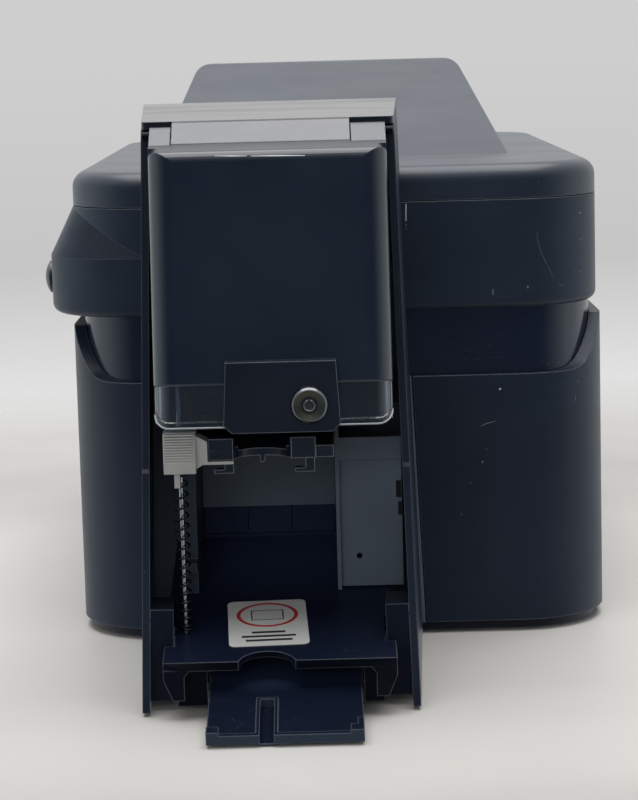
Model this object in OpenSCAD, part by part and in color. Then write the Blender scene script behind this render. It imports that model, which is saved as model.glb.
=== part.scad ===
// Card printer with a locking card hopper on its end.
// X runs from the far end to the hopper end, Y from the front (control panel) to the back,
// Z is up and zero is the surface the feet stand on. All sizes are in millimetres.

/* [Body] */
// Length of the main body along the card path
body_l = 350; // [330:5:380]
// Depth of the main body from front to back
body_w = 226.5; // [220:0.5:240]
// Plan radius of the body's corners
corner_r = 38; // [30:1:44]
// Wall of the outer shells and the cover
shell_t = 3; // [2.4:0.2:4]
// Wall of the inner housing
housing_t = 2.6; // [2:0.2:4]
// Height of the rubber feet
foot_h = 3; // [2.5:0.5:6]
// Diameter of the rubber feet
foot_d = 16; // [12:1:20]
// Height of the lower shell's bottom edge
shell_z = 5; // [4.5:0.5:8]
// How far the lower shell stands out from the front and the back
shell_out = 1.7; // [1:0.1:2.4]
// Height of the lower shell's top edge across the ends
shell_end_z = 112; // [104:1:118]
// Height of the lower shell's top edge along the sides
shell_side_z = 134; // [128:1:137]
// Height of the upper housing's bottom edge
band_z = 140; // [139:1:146]
// Height where the control panel starts to slope back
panel_z = 165; // [160:1:170]
// Height of the seam under the cover
cover_z = 186; // [180:1:192]

/* [Cover] */
// Height of the cover's flat part
cover_h = 15; // [13:1:17]
// Radius along the cover's top edge
cover_edge_r = 7; // [4:0.5:8]
// Height of the raised housing above the cover's flat part
hump_h = 42; // [36:1:46]
// Distance from the hopper end to the foot of the raised housing
hump_near = 88; // [80:1:92]
// Run of the slope on the hopper side of the raised housing
hump_slope = 180; // [165:1:185]
// Run of the slope on the far side of the raised housing
hump_far_slope = 34; // [30:1:36]
// Distance from the far end to the foot of the raised housing
hump_far = 12; // [10:1:14]
// Width of the raised housing's foot
hump_base_w = 160; // [150:1:170]
// Width of the raised housing's flat top
hump_top_w = 134; // [124:1:142]
// Radius of the cover's hinge barrels
hinge_r = 3.4; // [3:0.2:4]
// Radius of the hinge pins
pin_r = 1.5; // [1.2:0.1:1.8]

/* [Control panel] */
// How far the control panel stands out from the front
panel_out = 10.4; // [9:0.1:12]
// Length of the control panel's face plate
bezel_l = 92; // [86:1:100]
// Diameter of the domed buttons
button_d = 14; // [12:0.5:15]
// Distance between the buttons
button_pitch = 24; // [20:1:26]
// How far a button stands out at rest
button_proud = 4.2; // [4:0.1:5]
// Gap round a button
button_gap = 0.35; // [0.25:0.05:0.5]

/* [Card path] */
// Width of a card
card_w = 54; // [53:0.1:55]
// Height of the card path inside the body
card_z = 102; // [100:0.5:104]
// Radius of the feed and platen rollers
roller_r = 7; // [6:0.5:8]
// Radius of the roller shafts
shaft_r = 3; // [2.5:0.1:3.5]
// Distance between the two sheet metal side frames
frame_w = 80; // [74:1:86]
// Thickness of the side frames
frame_t = 1.6; // [1.2:0.1:2]
// Tooth module of the gears
gear_m = 1; // [0.9:0.05:1.05]
// Face width of the gears
gear_face = 5; // [4:0.5:6]
// Radius of a full ribbon roll
ribbon_r = 18; // [14:1:20]

/* [Hopper] */
// Offset of the hopper's centre from the body's centre, towards the front
hopper_off = 26; // [23:0.5:28]
// Height of the hopper cap at the body
hopper_h = 229.5; // [222:0.5:236]
// Half width of the hopper at its foot, at the body
hopper_half = 59.3; // [57:0.1:61]
// Wall of the hopper's sides, cap and back
hopper_t = 3; // [2.6:0.2:3.4]
// Width of the card channel
channel_w = 56; // [55.5:0.1:57]
// Offset of the card channel from the hopper's centre, towards the front
channel_off = 5; // [4:0.5:6]
// Width of the hopper door
door_w = 91.4; // [89:0.2:91.8]
// Wall of the hopper door
door_t = 2.2; // [1.8:0.2:2.6]
// Plan radius of the door's front corners
door_r = 10; // [8:0.5:12]
// Height of the door's bottom edge
door_z = 110; // [108:0.5:112]
// Height of the lower clear skirt of the door
skirt_h = 17; // [14:0.5:20]
// Width of the lock plate
lock_plate_w = 44.2; // [42:0.2:47]
// Height of the lock plate
lock_plate_h = 27; // [25:0.5:29]
// Diameter of the lock's flange
lock_d = 14.3; // [13:0.1:16]
// Travel of the card platform
platform_travel = 45; // [36:1:45]
// Radius of the guide rod
rod_r = 0.9; // [0.8:0.1:1.2]
// Wire diameter of the lift spring
wire_d = 0.8; // [0.7:0.05:0.9]
// Turns of the lift spring
spring_turns = 18; // [12:1:20]

/* [Output] */
// Width of the ramp plate
ramp_w = 88.8; // [84:0.2:92]
// Distance from the body to the ramp's lip
ramp_reach = 128; // [124:1:132]
// Height of the ramp's lip
ramp_z = 23; // [21:0.5:26]
// Slope of the ramp in degrees
ramp_angle = 10.2; // [9:0.1:11]
// Radius of the thumb notch in the ramp's lip
notch_r = 11; // [9:0.5:13]
// Distance from the body to the output tray's front edge
tray_reach = 165; // [160:1:172]
// Height of the tray's underside at its front edge
tray_z = 1.2; // [1:0.1:1.6]
// Slope of the tray in degrees
tray_angle = 11; // [10:0.1:11.5]
// Width of the output tray
tray_w = 58; // [57:0.5:60]
// Offset of the output tray from the hopper's centre, towards the back
tray_off = 1.8; // [1:0.1:2.4]
// How far the tray pushes in
tray_travel = 45; // [30:1:45]
// Length of the instruction sticker
sticker_l = 43; // [38:1:46]
// Width of the instruction sticker
sticker_w = 31; // [28:1:34]

/* [Fits] */
// Gap between separate shells and covers
fit_gap = 0.3; // [0.3:0.05:0.4]
// Radial running clearance of shafts and pins
run_gap = 0.05; // [0.02:0.01:0.08]

/* [Hidden] */
$fn = 64;

end_x = (body_l - tray_reach - fit_gap) / 2;
body_x = end_x - body_l / 2;
hinge_out = 2 * hinge_r + fit_gap;
body_y = (panel_out + button_proud - hinge_out) / 2;
front_y = body_y - body_w / 2;
rear_y = body_y + body_w / 2;
panel_y = front_y - panel_out;
housing_inset = shell_t + fit_gap;
floor_z = shell_z + 4;
hopper_y = body_y - hopper_off;
card_y = hopper_y - channel_off;
eps = 0.01;

// Helpers

function unit(v) = v / norm(v);

// Points of an arc of radius r that replaces the corner b of the path a, b, c
function corner_arc(a, b, c, r, n) =
  let (
    u = unit(a - b),
    v = unit(c - b),
    half = acos(u * v) / 2,
    m = b + unit(u + v) * r / sin(half),
    p = b + u * r / tan(half),
    q = b + v * r / tan(half),
    a0 = atan2(p[1] - m[1], p[0] - m[0]),
    turn = atan2(q[1] - m[1], q[0] - m[0]) - a0,
    sweep = turn > 180 ? turn - 360 : turn < -180 ? turn + 360 : turn
  )
  [for (i = [0:n]) m + r * [cos(a0 + sweep * i / n), sin(a0 + sweep * i / n)]];

// A closed path whose corners are rounded by the radii in rs
function round_path(pts, rs, n = 6) =
  let (k = len(pts))
  [for (i = [0:k - 1])
    each (rs[i] == 0 ? [pts[i]]
      : corner_arc(pts[(i + k - 1) % k], pts[i], pts[(i + 1) % k], rs[i], n))];

// Rounded rectangle
module plan(l, w, r) {
  square([l - 2 * r, w], center = true);
  square([l, w - 2 * r], center = true);
  for (x = [-1, 1], y = [-1, 1])
    translate([x * (l / 2 - r), y * (w / 2 - r)]) circle(r);
}

// The body's outline, drawn in by inset
module body_plan(inset) {
  translate([body_x, body_y]) plan(body_l - 2 * inset, body_w - 2 * inset, corner_r - inset);
}

module body_prism(inset, z0, z1) {
  translate([0, 0, z0]) linear_extrude(z1 - z0) body_plan(inset);
}

// Section through the rounded rim of a block
module rim_section(r, h, e) {
  difference() {
    square([r, h]);
    translate([r - e, h - e]) difference() {
      square([e + 1, e + 1]);
      circle(e);
    }
  }
}

// Block with corner radius r in plan and radius e along its top edge
module soft_block(l, w, h, r, e) {
  for (sx = [-1, 1], sy = [-1, 1])
    translate([sx * (l / 2 - r), sy * (w / 2 - r), 0])
      rotate([0, 0, sx > 0 ? (sy > 0 ? 0 : -90) : (sy > 0 ? 90 : 180)])
        rotate_extrude(angle = 90) rim_section(r, h, e);
  for (s = [0, 1]) {
    mirror([s, 0, 0]) translate([l / 2 - r, w / 2 - r, 0]) rotate([90, 0, 0])
      linear_extrude(w - 2 * r) rim_section(r, h, e);
    mirror([0, s, 0]) translate([-(l / 2 - r), w / 2 - r, 0]) rotate([90, 0, 90])
      linear_extrude(l - 2 * r) rim_section(r, h, e);
  }
  translate([r - l / 2, r - w / 2, 0]) cube([l - 2 * r, w - 2 * r, h]);
}

// Block whose sides slope in by inset over its height, with cone corners
module taper_block(l, w, h, r, inset) {
  for (sx = [-1, 1], sy = [-1, 1])
    translate([sx * (l / 2 - r), sy * (w / 2 - r), 0]) cylinder(h = h, r1 = r, r2 = r - inset);
  flank = [[0, 0], [r, 0], [r - inset, h], [0, h]];
  for (s = [0, 1]) {
    mirror([s, 0, 0]) translate([l / 2 - r, w / 2 - r, 0]) rotate([90, 0, 0])
      linear_extrude(w - 2 * r) polygon(flank);
    mirror([0, s, 0]) translate([-(l / 2 - r), w / 2 - r, 0]) rotate([90, 0, 90])
      linear_extrude(l - 2 * r) polygon(flank);
  }
  translate([r - l / 2, r - w / 2, 0]) cube([l - 2 * r, w - 2 * r, h]);
}

// Extrudes a profile drawn in X and Z from y0 to y1
module along_y(y0, y1) {
  translate([0, y1, 0]) rotate([90, 0, 0]) linear_extrude(y1 - y0) children();
}

// Extrudes a profile drawn in Y and Z from x0 to x1
module along_x(x0, x1) {
  translate([x0, 0, 0]) rotate([90, 0, 90]) linear_extrude(x1 - x0) children();
}

// A cylinder on a line parallel to Y
module rod_y(x, z, r, y0, y1) {
  translate([x, y0, z]) rotate([-90, 0, 0]) cylinder(h = y1 - y0, r = r);
}

// A cylinder on a line parallel to X
module rod_x(y, z, r, x0, x1) {
  translate([x0, y, z]) rotate([0, 90, 0]) cylinder(h = x1 - x0, r = r);
}

// A box given by its low and high corners
module box(a, b) {
  translate(a) cube(b - a);
}

// Puts the children in the hopper's own frame: X is the distance out of the body's end
module at_hopper() {
  translate([end_x + fit_gap, hopper_y, 0]) children();
}

// Body

foot_inset = 42;
foot_pocket = 1.8;
plate_z = foot_h - foot_pocket;
rim_inset = 2;

module feet_places() {
  for (x = [-1, 1], y = [-1, 1])
    translate([body_x + x * (body_l / 2 - foot_inset), body_y + y * (body_w / 2 - foot_inset), 0])
      children();
}

module base_plate() {
  color([0.10, 0.11, 0.13]) difference() {
    union() {
      body_prism(rim_inset, plate_z, shell_z);
      body_prism(housing_inset, plate_z, floor_z);
    }
    feet_places() translate([0, 0, plate_z - 1]) cylinder(h = 1 + foot_pocket, d = foot_d + 2 * fit_gap);
    for (i = [-4:4])
      translate([body_x + i * 16, body_y, plate_z - 1]) linear_extrude(10) plan(5, 60, 2.4);
  }
}

module rubber_feet() {
  color([0.07, 0.07, 0.08]) feet_places() rotate_extrude()
    polygon([[0, 0], [foot_d / 2 - 1, 0], [foot_d / 2, 1], [foot_d / 2, foot_h], [0, foot_h]]);
}

// The lower shell's top edge dips across both ends, in the plane of X and Z
dip_start = 5;
dip_r = 14;
dip_angle = 48;

module end_dip() {
  run = (shell_side_z - shell_end_z) / tan(dip_angle) + dip_start + dip_r;
  rise = run * tan(dip_angle);
  path = round_path(
    [[12, shell_end_z], [-dip_start - dip_r * tan(dip_angle / 2), shell_end_z],
      [-dip_start - dip_r * tan(dip_angle / 2) - run, shell_end_z + rise], [12, shell_end_z + rise]],
    [0, dip_r, 0, 0], 8);
  along_y(front_y - shell_out - 1, rear_y + shell_out + 1) polygon(path);
}

// Half width of the hopper's outer faces at the height z and distance p from the body
hopper_lean = 0.0294;
hopper_taper = 0.05;
function hopper_hw(p, z) = hopper_half - hopper_lean * z - hopper_taper * p;

module hopper_recess(grow) {
  at_hopper() along_x(-shell_t - 5, 5)
    polygon([[-hopper_hw(0, shell_z) - 1.5 - grow, shell_z - 3],
      [hopper_hw(0, shell_z) + 1.5 + grow, shell_z - 3],
      [hopper_hw(0, shell_end_z) + 0.5 + grow, shell_end_z + 2],
      [-hopper_hw(0, shell_end_z) - 0.5 - grow, shell_end_z + 2]]);
}

module lower_shell() {
  color([0.11, 0.13, 0.17]) difference() {
    translate([body_x, body_y, shell_z]) linear_extrude(shell_side_z - shell_z)
      plan(body_l, body_w + 2 * shell_out, corner_r);
    body_prism(shell_t, shell_z - 1, shell_side_z + 1);
    translate([end_x, 0, 0]) end_dip();
    translate([end_x - body_l, 0, 0]) mirror([1, 0, 0]) end_dip();
    hopper_recess(fit_gap + 0.4);
    rear_vents(rear_y - shell_t - 1, rear_y + shell_out + 1);
    port_cuts(rear_y - shell_t - 1, rear_y + shell_out + 1, 1.2);
  }
}

vent_n = 14;
vent_pitch = 7;
vent_z = 74;

module rear_vents(y0, y1) {
  for (i = [0:vent_n - 1])
    translate([body_x - 20 + i * vent_pitch, 0, 0]) along_y(y0, y1) translate([0, vent_z]) plan(3.2, 36, 1.5);
}

slot_half = channel_w / 2;
feed_slot_z = card_z - 3;
feed_slot_h = 7;
mouth_z = 46.5;
mouth_h = 12;
board_x = body_x - 60;
port_z = 34;
port_y = rear_y - housing_inset - housing_t;

// Cut-outs for the power inlet and the two data ports in the rear walls
module port_cuts(y0, y1, grow) {
  along_y(y0, y1) translate([board_x - 34, port_z]) plan(27 + 2 * grow, 20 + 2 * grow, 1.5);
  along_y(y0, y1) translate([board_x + 8, port_z - 3]) plan(12 + 2 * grow, 11 + 2 * grow, 0.8);
  along_y(y0, y1) translate([board_x + 32, port_z - 3]) plan(16 + 2 * grow, 14 + 2 * grow, 0.8);
}

module card_slots(x0, x1) {
  box([x0, card_y - slot_half, feed_slot_z], [x1, card_y + slot_half, feed_slot_z + feed_slot_h]);
  box([x0, card_y - slot_half, mouth_z], [x1, card_y + slot_half, mouth_z + mouth_h]);
}

housing_top = cover_z - 4;

module inner_housing() {
  color([0.07, 0.08, 0.10]) difference() {
    body_prism(housing_inset, floor_z, housing_top);
    body_prism(housing_inset + housing_t, floor_z + housing_t, housing_top + 1);
    card_slots(end_x - 20, end_x + 1);
    rear_vents(rear_y - 20, rear_y + 1);
    port_cuts(rear_y - 20, rear_y + 1, 0.6);
    panel_wire_slot();
  }
}

module panel_wire_slot() {
  box([bezel_x - 20, front_y - 1, panel_z - 14], [bezel_x + 20, front_y + 20, panel_z - 6]);
}

// The control panel's face plate starts just past the corner on the hopper end
bezel_x = end_x - corner_r - bezel_l / 2;
bezel_t = 1.6;
bezel_h = 18;
bezel_z = panel_z - 2 - bezel_h / 2;
band_edge_r = 4;

module bezel_outline(grow) {
  translate([bezel_x, bezel_z]) plan(bezel_l + 2 * grow, bezel_h + 2 * grow, 3 + grow);
}

// The display lies on the sloping face of the panel
display_l = 62;
display_h = 13;
display_t = 2;
slope_angle = atan(panel_out / (cover_z - panel_z));
slope_mid = (cover_z + panel_z) / 2;

module on_slope() {
  translate([bezel_x, panel_y + panel_out / 2, slope_mid]) rotate([90 - slope_angle, 0, 0]) children();
}

module upper_housing() {
  grown_w = body_w + panel_out;
  color([0.11, 0.13, 0.17]) difference() {
    union() {
      translate([body_x, body_y - panel_out / 2, panel_z]) mirror([0, 0, 1])
        soft_block(body_l, grown_w, panel_z - band_z, corner_r, band_edge_r);
      body_prism(0, panel_z, cover_z);
      intersection() {
        translate([body_x, body_y - panel_out / 2, panel_z])
          taper_block(body_l, grown_w, cover_z - panel_z, corner_r, panel_out);
        box([end_x - body_l - 1, panel_y - 1, panel_z - 1], [end_x + 1, front_y + corner_r, cover_z + 1]);
      }
      for (x = hinge_xs) hinge_knuckles(x);
    }
    body_prism(shell_t, band_z - 1, cover_z + 1);
    // The panel's own hollow
    box([bezel_x - bezel_l / 2 - 6, panel_y + shell_t, band_z + shell_t],
      [bezel_x + bezel_l / 2 + 6, front_y + shell_t + 1, panel_z]);
    along_y(panel_y - 1, panel_y + bezel_t) bezel_outline(fit_gap);
    for (i = [0:2])
      rod_y(button_x(i), button_z, button_d / 2 + button_gap, panel_y - 1, panel_y + shell_t + 1);
    on_slope() translate([0, 0, -display_t]) linear_extrude(display_t + 2)
      plan(display_l + 2 * fit_gap, display_h + 2 * fit_gap, 2 + fit_gap);
    for (x = hinge_xs) hinge_bore(x);
  }
}

module control_bezel() {
  color([0.06, 0.06, 0.08]) difference() {
    along_y(panel_y, panel_y + bezel_t) bezel_outline(0);
    for (i = [0:2]) rod_y(button_x(i), button_z, button_d / 2 + button_gap, panel_y - 1, panel_y + 9);
  }
}

module display_window() {
  color([0.16, 0.20, 0.20]) on_slope() translate([0, 0, -display_t]) linear_extrude(display_t)
    plan(display_l, display_h, 2);
}

button_z = bezel_z;
button_flange = 1;
button_flange_t = 1.2;
function button_x(i) = end_x - corner_r - 11 - i * button_pitch;

// A domed cap with a flange behind the face plate and a stem towards the switch
module panel_button(i) {
  dome_h = 2.2;
  dome_r = ((button_d / 2) * (button_d / 2) + dome_h * dome_h) / (2 * dome_h);
  color([0.09, 0.10, 0.12]) translate([button_x(i), panel_y - button_proud, button_z]) rotate([-90, 0, 0]) {
    intersection() {
      translate([0, 0, dome_r]) sphere(dome_r);
      cylinder(h = dome_h, d = button_d);
    }
    translate([0, 0, dome_h]) cylinder(h = button_proud + shell_t - dome_h, d = button_d);
    translate([0, 0, button_proud + shell_t + fit_gap])
      cylinder(h = button_flange_t, r = button_d / 2 + button_flange);
    translate([0, 0, button_proud + shell_t - eps]) cylinder(h = fit_gap + 2 * eps, d = button_d);
  }
}

// Board behind the buttons, on spacers off the panel's wall
panel_board_y = panel_y + shell_t + fit_gap + button_flange_t + 3.2;

module panel_board() {
  color([0.10, 0.32, 0.20]) {
    along_y(panel_board_y, panel_board_y + 1.6) translate([bezel_x, bezel_z]) plan(bezel_l - 8, 14, 1);
    for (x = [button_x(0.5), button_x(1.5), bezel_x - bezel_l / 2 + 10])
      rod_y(x, bezel_z, 2.4, panel_y + shell_t, panel_board_y);
    for (i = [0:2]) rod_y(button_x(i), button_z, 3, panel_board_y - 1.4, panel_board_y);
  }
}

module button_near() { panel_button(0); }
module button_middle() { panel_button(1); }
module button_far() { panel_button(2); }

// Cover and hinge

cover_gap = 0.4;
hinge_y = rear_y + fit_gap + hinge_r;
hinge_z = cover_z + 2.5;
hinge_xs = [body_x - 100, body_x + 50];
knuckle_w = 12;
knuckle_gap = 0.4;

// Two fixed knuckles either side of the cover's own
module hinge_knuckles(x) {
  for (s = [-1, 1]) {
    x0 = x + s * (knuckle_w + knuckle_gap) - knuckle_w / 2;
    rod_x(hinge_y, hinge_z, hinge_r, x0, x0 + knuckle_w);
    box([x0, rear_y - shell_t, cover_z - 9], [x0 + knuckle_w, rear_y + hinge_r, cover_z - eps]);
    along_x(x0, x0 + knuckle_w)
      polygon([[rear_y, cover_z - 9], [rear_y + hinge_r, cover_z - 9], [hinge_y + hinge_r, hinge_z],
        [hinge_y, hinge_z], [rear_y + fit_gap, cover_z]]);
  }
}

module hinge_bore(x) {
  rod_x(hinge_y, hinge_z, pin_r + run_gap, x - 2 * knuckle_w, x + 2 * knuckle_w);
}

hump_x0 = end_x - body_l + hump_far;
hump_x1 = end_x - hump_near;
hump_edge_r = 7;
cover_top = cover_z + cover_h;

// The raised housing, drawn in by inset on every face
module hump(inset) {
  z0 = cover_top - shell_t - 1;
  z1 = cover_top + hump_h - inset;
  near_k = hump_slope / hump_h;
  far_k = hump_far_slope / hump_h;
  side_k = (hump_base_w - hump_top_w) / 2 / hump_h;
  near_in = inset * norm([1, near_k]);
  far_in = inset * norm([1, far_k]);
  side_in = inset * norm([1, side_k]);
  dz = z1 - cover_top;
  down = cover_top - z0;
  er = hump_edge_r - inset;
  intersection() {
    along_y(front_y, rear_y) polygon(round_path(
      [[hump_x0 + far_in - far_k * down, z0], [hump_x1 - near_in + near_k * down, z0],
        [hump_x1 - near_in - near_k * dz, z1], [hump_x0 + far_in + far_k * dz, z1]],
      [0, 0, 2 * er, 2 * er], 8));
    along_x(hump_x0 - 20, hump_x1 + 20) polygon(round_path(
      [[body_y - hump_base_w / 2 + side_in - side_k * down, z0],
        [body_y + hump_base_w / 2 - side_in + side_k * down, z0],
        [body_y + hump_base_w / 2 - side_in - side_k * dz, z1],
        [body_y - hump_base_w / 2 + side_in + side_k * dz, z1]],
      [0, 0, er, er], 8));
  }
}

module top_cover() {
  color([0.13, 0.15, 0.19]) difference() {
    union() {
      translate([body_x, body_y, cover_z + cover_gap])
        soft_block(body_l, body_w, cover_h - cover_gap, corner_r, cover_edge_r);
      hump(0);
      for (x = hinge_xs) {
        rod_x(hinge_y, hinge_z, hinge_r, x - knuckle_w / 2, x + knuckle_w / 2);
        box([x - knuckle_w / 2, rear_y - shell_t, hinge_z - 1],
          [x + knuckle_w / 2, hinge_y, hinge_z + hinge_r]);
      }
    }
    translate([body_x, body_y, cover_z - 1])
      soft_block(body_l - 2 * shell_t, body_w - 2 * shell_t, cover_h + 1 - shell_t,
        corner_r - shell_t, cover_edge_r - shell_t);
    hump(shell_t);
    for (x = hinge_xs) hinge_bore(x);
  }
}

module cover_pins() {
  reach = 1.5 * knuckle_w + knuckle_gap;
  color([0.75, 0.75, 0.76]) for (x = hinge_xs) rod_x(hinge_y, hinge_z, pin_r, x - reach, x + reach);
}

// Tongue that drops inside the housing's front wall and lines the cover up
tongue_w = 14;
tongue_gap = 2.4;

module cover_tongue() {
  y0 = front_y + housing_inset + housing_t + tongue_gap;
  color([0.10, 0.11, 0.13]) along_x(bezel_x - tongue_w / 2, bezel_x + tongue_w / 2)
    polygon([[y0, cover_top - shell_t], [y0 + 3, cover_top - shell_t], [y0 + 3, cover_z - 15],
      [y0 + 1.5, cover_z - 18], [y0, cover_z - 15]]);
}

// Print station

feed_teeth = 32;
idler_teeth = 26;
pinion_teeth = 14;
function pitch_r(n) = gear_m * n / 2;
roller_z = card_z - roller_r - 0.4;
feed_x = end_x - 52;
idler_x = feed_x - pitch_r(feed_teeth) - pitch_r(idler_teeth);
platen_x = idler_x - pitch_r(idler_teeth) - pitch_r(feed_teeth);
cleaning_x = platen_x - 74;
motor_z = roller_z - pitch_r(idler_teeth) - pitch_r(pinion_teeth);
spool_dx = 52;
supply_x = platen_x + spool_dx;
takeup_x = platen_x - spool_dx;
spool_z = 142;
frame_y0 = card_y - frame_w / 2;
frame_y1 = card_y + frame_w / 2;
frame_top = card_z + 8;
roller_xs = [feed_x, platen_x, cleaning_x];
bar_places = [[feed_x + 12, 28], [platen_x, 30], [cleaning_x - 8, 60]];
bar_r = 3;
gear_gap = 1.2;
gear_y = frame_y1 + frame_t + gear_gap;

module frame_outline() {
  z0 = floor_z + housing_t;
  difference() {
    union() {
      polygon(round_path(
        [[cleaning_x - 20, z0], [feed_x + 22, z0], [feed_x + 22, frame_top], [cleaning_x - 20, frame_top]],
        [0, 0, 8, 8], 6));
      for (x = [supply_x, takeup_x])
        polygon(round_path(
          [[x - 16, frame_top - 4], [x + 16, frame_top - 4], [x + 11, spool_z + 11], [x - 11, spool_z + 11]],
          [0, 0, 5, 5], 5));
    }
    for (x = roller_xs) translate([x, roller_z]) circle(shaft_r + run_gap);
    for (x = [supply_x, takeup_x]) translate([x, spool_z]) circle(shaft_r + run_gap);
    for (b = bar_places) translate(b) circle(bar_r + run_gap);
    translate([idler_x, roller_z]) circle(shaft_r + run_gap);
    translate([idler_x, motor_z]) circle(5);
    translate([(platen_x + cleaning_x) / 2, 52]) plan(44, 34, 8);
    translate([feed_x - 4, 66]) plan(26, 18, 6);
  }
}

// Each frame is folded out at its foot and stands on the housing's floor
module side_frame(y0, s) {
  flange = 12;
  z0 = floor_z + housing_t;
  along_y(y0, y0 + frame_t) frame_outline();
  y1 = s > 0 ? y0 : y0 - flange + frame_t;
  box([cleaning_x - 20, y1, z0], [feed_x + 22, y1 + flange, z0 + frame_t]);
}

module side_frames() {
  color([0.62, 0.64, 0.66]) {
    side_frame(frame_y0 - frame_t, -1);
    side_frame(frame_y1, 1);
  }
}

module tie_bars() {
  color([0.72, 0.73, 0.74]) {
    for (b = bar_places) rod_y(b[0], b[1], bar_r, frame_y0 - frame_t - 2, frame_y1 + frame_t + 2);
    rod_y(idler_x, roller_z, shaft_r, frame_y1 - 4, gear_y + gear_face + 3);
  }
}

// Rubber sleeve on a steel shaft; the shaft reaches the gear where there is one
module roller(x, r, gear_side) {
  y1 = gear_side ? gear_y + gear_face + 1 : frame_y1 + frame_t + 2;
  rod_y(x, roller_z, shaft_r, frame_y0 - frame_t - 2, y1);
  rod_y(x, roller_z, r, card_y - card_w / 2 - 1, card_y + card_w / 2 + 1);
  collar_y = frame_w / 2 - 2.4;
  for (s = [-1, 1])
    rod_y(x, roller_z, shaft_r + 1.6, card_y + s * collar_y - 1.8, card_y + s * collar_y + 1.8);
}

module feed_roller() { color([0.28, 0.28, 0.30]) roller(feed_x, roller_r, true); }
module platen_roller() { color([0.20, 0.20, 0.22]) roller(platen_x, roller_r, true); }
module cleaning_roller() { color([0.75, 0.78, 0.70]) roller(cleaning_x, roller_r - 1, false); }

// Half angle of an involute tooth at the radius r
pressure = 20;
backlash = 0.16;
function involute(a) = tan(a) * 180 / PI - a;
function tooth_half(n, r) =
  let (rp = pitch_r(n), rb = rp * cos(pressure))
  (180 * (gear_m * PI / 2 - backlash) / PI / (2 * rp)) + involute(pressure)
    - involute(acos(min(1, rb / max(r, rb))));

// Outline of a gear with n teeth; one flank is five points from the root to the tip
function gear_outline(n) =
  let (rp = pitch_r(n), root = rp - 1.25 * gear_m, tip = rp + gear_m, steps = 4)
  [for (k = [0:n - 1]) each concat(
    [for (i = [0:steps]) let (r = root + (tip - root) * i / steps, a = 360 * k / n - tooth_half(n, r))
      [r * cos(a), r * sin(a)]],
    [for (i = [steps:-1:0]) let (r = root + (tip - root) * i / steps, a = 360 * k / n + tooth_half(n, r))
      [r * cos(a), r * sin(a)]])];

module gear_at(x, z, n, phase, bore) {
  translate([x, gear_y, z]) rotate([-90, 0, 0]) difference() {
    rotate([0, 0, phase]) linear_extrude(gear_face) polygon(gear_outline(n));
    translate([0, 0, -1]) cylinder(h = gear_face + 2, r = bore);
    if (n > 20) translate([0, 0, gear_face - 1.4]) difference() {
      cylinder(h = 2, r = pitch_r(n) - 3.4);
      translate([0, 0, -1]) cylinder(h = 4, r = bore + 2.6);
    }
  }
}

module feed_gear() {
  color([0.86, 0.86, 0.82]) gear_at(feed_x, roller_z, feed_teeth, 0, shaft_r + run_gap / 2);
}

module idler_gear() {
  color([0.82, 0.82, 0.78]) gear_at(idler_x, roller_z, idler_teeth, 180 / idler_teeth, shaft_r + run_gap);
}

module platen_gear() {
  color([0.86, 0.86, 0.82]) gear_at(platen_x, roller_z, feed_teeth, 0, shaft_r + run_gap / 2);
}

motor_r = 14;
motor_l = 34;
motor_shaft_r = 1.5;

module drive_motor() {
  color([0.55, 0.56, 0.58]) difference() {
    union() {
      rod_y(idler_x, motor_z, motor_r, frame_y1 - motor_l, frame_y1);
      rod_y(idler_x, motor_z, 4.6, frame_y1 - eps, frame_y1 + frame_t);
    }
    rod_y(idler_x, motor_z, motor_shaft_r + run_gap, frame_y1 - 12, frame_y1 + 4);
  }
}

// The pinion stands right below the idler, and one of its teeth faces a gap of the idler
pinion_phase = idler_teeth % 4 == pinion_teeth % 4 ? 0 : 180 / pinion_teeth;

module motor_pinion() {
  color([0.78, 0.66, 0.34]) {
    gear_at(idler_x, motor_z, pinion_teeth, pinion_phase, 0);
    rod_y(idler_x, motor_z, motor_shaft_r, frame_y1 - 11.5, gear_y + eps);
  }
}

// A hub with two flanges that holds the rolled ribbon
module spool(x, r) {
  rod_y(x, spool_z, shaft_r, frame_y0 - frame_t - 1, frame_y1 + frame_t + 1);
  rod_y(x, spool_z, 5, frame_y0 + 1.5, frame_y1 - 1.5);
  rod_y(x, spool_z, r, card_y - card_w / 2 - 2, card_y + card_w / 2 + 2);
  for (s = [-1, 1]) {
    y = card_y + s * (card_w / 2 + 4);
    rod_y(x, spool_z, ribbon_r + 2, y - 0.9, y + 0.9);
  }
}

module supply_spool() { color([0.16, 0.17, 0.30]) spool(supply_x, ribbon_r); }
module takeup_spool() { color([0.14, 0.14, 0.18]) spool(takeup_x, ribbon_r - 7); }

head_w = card_w + 4;
flange_t = 1.6;
// Underside of the raised housing's near slope at x
function hump_under(x) =
  let (k = hump_slope / hump_h) cover_top + (hump_x1 - x - shell_t * norm([1, k])) / k - eps;

module head_bracket() {
  z1 = hump_under(platen_x - 11 + flange_t);
  color([0.60, 0.61, 0.63]) {
    along_x(platen_x - 11, platen_x - 11 + flange_t) difference() {
      polygon([[card_y - head_w / 2, card_z + 12], [card_y + head_w / 2, card_z + 12],
        [card_y + head_w / 2 - 6, z1], [card_y - head_w / 2 + 6, z1]]);
      translate([card_y, (card_z + z1) / 2 + 6]) plan(30, 44, 6);
    }
    box([platen_x - 11, card_y - head_w / 2, card_z + 12],
      [platen_x + 11, card_y + head_w / 2, card_z + 12 + flange_t]);
    // The upper flange lies against the sloping underside
    za = hump_under(platen_x - 11);
    zb = hump_under(platen_x + 11);
    along_y(card_y - head_w / 2 + 6, card_y + head_w / 2 - 6)
      polygon([[platen_x - 11, za - flange_t], [platen_x + 11, zb - flange_t],
        [platen_x + 11, zb], [platen_x - 11, za]]);
  }
}

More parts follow.
